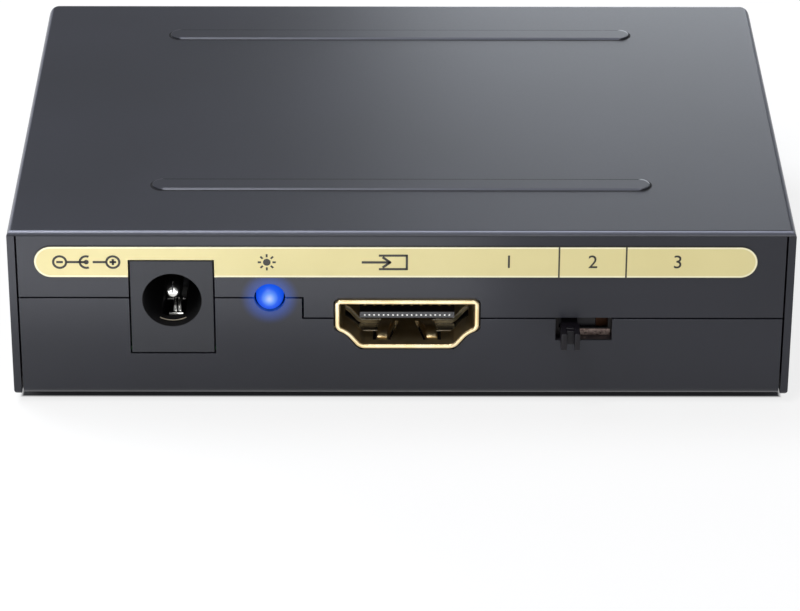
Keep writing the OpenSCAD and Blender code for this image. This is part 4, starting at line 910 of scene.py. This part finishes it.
BAND_Z = middle("front_label", 2)
MINUS_X, PLUG_X, PLUS_X, SUN_X = -36.0, -33.2, -30.4, -14.2
signs = bmesh.new()
for x in (MINUS_X, PLUS_X):
    hoop(signs, x)
    stroke(signs, (x - PLUS_R, 0), (x + PLUS_R, 0))
stroke(signs, (PLUS_X, -PLUS_R), (PLUS_X, PLUS_R))
stroke(signs, (-35.3, 0), (-33.3, 0))
dot(signs, PLUG_X, 0.26)
hoop(signs, PLUG_X, angle=pi * 1.25, start=pi * 0.375)
stroke(signs, (-32.52, 0), (-31.1, 0))
dot(signs, SUN_X, 0.4)
for a in [i * pi / 4 for i in range(8)]:
    stroke(signs, *[(SUN_X + r * cos(a), r * sin(a)) for r in (0.6, 0.95)], 0.2)
arrow(signs, -4.2, -1.2, -2.0, -1.15)
for z in (0.8, -0.8):
    stroke(signs, (-2.4, z), (0.6, z))
stroke(signs, (0.55, -0.9), (0.55, 0.9))
made("front_signs", signs, band_ink, Matrix.Translation((0, FRONT_Y - FOIL, BAND_Z)))

for figure, x in (("1", 11.3), ("2", 20.15), ("3", 29.1)):
    letters = bpy.data.curves.new("number_" + figure, "FONT")
    letters.body, letters.size, letters.extrude = figure, 2.15, INK / 2
    letters.align_x, letters.align_y = "CENTER", "CENTER"
    holder = in_scene("number_" + figure, letters)
    sign = bmesh.new()
    sign.from_mesh(final_mesh(holder))
    bpy.data.objects.remove(holder)
    stand = Matrix.Translation((x, FRONT_Y - FOIL - INK / 2, BAND_Z))
    made("number_sign_" + figure, sign, band_ink, stand @ Matrix.Rotation(pi / 2, 4, "X"))

back_signs = bmesh.new()
out_x, light_x = -middle("video_out_shell", 0), -middle("optical_housing", 0)
arrow(back_signs, out_x - 1.4, out_x + 1.5, out_x + 0.8, out_x + 1.6)
hoop(back_signs, light_x, 0.75)
dot(back_signs, light_x, 0.3)
made("back_signs", back_signs, band_ink, at_back(0, BAND_Z) @ Matrix.Translation((0, -FOIL, 0)))

# %% [markdown]
# ## Finishes on the other nodes
# The rest keeps its CAD mesh, because the shape is right and most of it is inside the case. Each
# node takes the finish listed for it in the table below.

# %% Finishes on CAD nodes
for material, names in (
        (zinc_screw, ["side_screws"]), (nickel, ["standoffs", "board_screws", "crystal"]),
        (front_foil, ["front_label"]), (back_foil, ["back_label"]),
        (solder_mask, ["circuit_board"]), (phenolic, ["switch_base"]),
        (tin, ["jack_pin_terminal", "lamp_leads", "switch_terminals", "optical_leads"]),
        (gold_contact, ["switch_clip", "rca_left_contact", "rca_right_contact"]),
        (chip_epoxy, ["main_chip", "audio_chip", "control_chip", "voltage_regulator",
                      "chip_resistors"]),
        (drawn_can, ["electrolytic_capacitors"]), (fired_ceramic, ["ceramic_capacitors"]),
        (ferrite, ["power_inductor"]), (black_nylon, ["optical_emitter"])):
    for name in names:
        nodes[name].data.materials.clear()
        nodes[name].data.materials.append(material)

# %% [markdown]
# ## Floor
# The photograph has a plain white ground. The floor is a white card: what the camera, gloss and
# glass see of it is lifted towards plain white, and the rest is ordinary card that keeps the
# shadow. Hardly any light gets into the low gap under the case. The lift stops there, about a
# millimetre in from its walls, and there the card's colour is painted dark grey as a painted
# contact shadow.

# %% Floor
GROUND, LIFTED, GAP_FRONT, GAP_SIDE, GAP_EDGE = -0.02, 0.8, 1.5, 0.6, 0.2
floor_mesh = bpy.data.meshes.new("floor_card")
card_bm = bmesh.new()
bmesh.ops.create_grid(card_bm, x_segments=1, y_segments=1, size=4.0)
card_bm.to_mesh(floor_mesh)
card_bm.free()
floor = in_scene("floor_card", floor_mesh)
floor.location.z = GROUND * MM
card = bpy.data.materials.new("matt_white_card")
card.use_nodes = True
card_tree = card.node_tree
card_shader = card_tree.nodes[SHADER]
ray = add(card_tree, "LightPath").outputs
seen = ray["Is Camera Ray"]
for other in ("Is Glossy Ray", "Is Transmission Ray"):
    seen = add(card_tree, "Math", {0: seen, 1: ray[other]}, operation="MAXIMUM")
past = add(card_tree, "TexCoord").outputs["Object"]
half_case = (box_mm("top_cover")[1][0] - GAP_SIDE, (BACK_Y - FRONT_Y) / 2 - GAP_FRONT, 0)
for operation, by in (("SUBTRACT", (0, (FRONT_Y + BACK_Y) / 2, 0)), ("ABSOLUTE", (0, 0, 0)),
                      ("SUBTRACT", half_case)):
    past = add(card_tree, "VectorMath", {0: past, 1: Vector(by) * MM}, operation=operation)
past = add(card_tree, "SeparateXYZ", {0: past}).outputs
furthest = add(card_tree, "Math", {0: past["X"], 1: past["Y"]}, operation="MAXIMUM")
in_open = add(card_tree, "MapRange", {"Value": furthest, "From Min": -GAP_EDGE * MM,
                                      "From Max": GAP_EDGE * MM})
# Under the case the card's colour is painted dark: a painted contact shadow.
card_colour_with_painted_shadow = add(card_tree, "Mix", {0: in_open, COLOUR_A: linear("#55565a"),
                                     COLOUR_B: linear("#e8e8e8")}, data_type="RGBA")
feed(card_shader, {"Base Color": card_colour_with_painted_shadow, "Roughness": 0.9})
lift = add(card_tree, "Math", {0: seen, 1: LIFTED}, operation="MULTIPLY")
lift = add(card_tree, "Math", {0: lift, 1: in_open}, operation="MULTIPLY")
white = add(card_tree, "Emission", {"Color": (1, 1, 1, 1), "Strength": 1.0})
mixed = add(card_tree, "MixShader", {0: lift, 1: card_shader, 2: white})
feed(card_tree.nodes["Material Output"], {"Surface": mixed})
floor_mesh.materials.append(card)

# %% [markdown]
# ## Light
# Product photographs are lit with soft boxes. A high key box on the left gives the shapes their
# light. A low box behind on the right is mirrored in the top and gives it its sheen. A far box in
# front lights the front panel, two high behind put the bright line on the front bend, and a weak
# one behind on the left keeps the back from going black. A soft spot brightens the card in
# front on the left, and a low card of light on the table there shows only in gloss: the front panel
# mirrors both and so is lighter on its upper left. The sky is an even pale grey.

# %% Light
WHITE, COOL, SKY_BLUE, ORIGIN = (1.0, 1.0, 1.0), (0.90, 0.93, 1.0), (0.88, 0.93, 1.0), (0, 0, 0)


def soft_light(name, place, target, size, watts, tint=WHITE, only_gloss=False):
    """A square soft box at a place, turned to a target, both in metres."""
    data = bpy.data.lights.new(name, "AREA")
    data.size, data.energy, data.color = size, watts, tint
    light = in_scene(name, data)
    light.location = place
    light.rotation_euler = (Vector(target) - Vector(place)).to_track_quat("-Z", "Y").to_euler()
    if only_gloss:
        light.visible_camera = light.visible_diffuse = False
    return light


soft_light("key_box", (-0.22, -0.30, 0.80), ORIGIN, 0.3, 3.0)
soft_light("back_right_box", (0.08, 0.45, 0.11), (0.02, 0.0, 0.02), 0.16, 0.42, SKY_BLUE)
soft_light("front_box", (0.1, -1.0, 0.34), ORIGIN, 0.4, 2.2)
soft_light("bend_strip", (-0.17, 0.12, 0.42), (-0.02, -0.03, 0.02), 0.24, 1.5, COOL)
soft_light("bend_card", (0.06, 0.12, 0.42), (0.0, -0.03, 0.02), 0.3, 1.3, COOL, only_gloss=True)
soft_light("back_left_fill", (-0.8, 0.75, 0.4), ORIGIN, 0.5, 4.0)

pool_data = bpy.data.lights.new("table_pool", "SPOT")
pool_data.energy, pool_data.spot_size, pool_data.spot_blend = 24.0, radians(13), 1.0
pool_data.shadow_soft_size = 0.02
in_scene("table_pool", pool_data).location = (-0.06, -0.09, 0.5)

CARD_X, CARD_AHEAD, CARD_Z, CARD_W, CARD_D = -0.040, 0.042, 0.0005, 0.10, 0.044
table_card = soft_light("table_card", (CARD_X, FRONT_Y * MM - CARD_AHEAD, CARD_Z), (0, 0, 1),
                        CARD_W, 0.033, COOL, only_gloss=True)
table_card.data.shape, table_card.data.size_y = "RECTANGLE", CARD_D
table_card.rotation_euler = (pi, 0.0, 0.0)

world = bpy.data.worlds.new("pale_room")
world.use_nodes = True
feed(world.node_tree.nodes["Background"], {"Color": linear("#f4f6fa"), "Strength": 0.3})
bpy.context.scene.world = world
bpy.context.scene.view_settings.view_transform = "Standard"
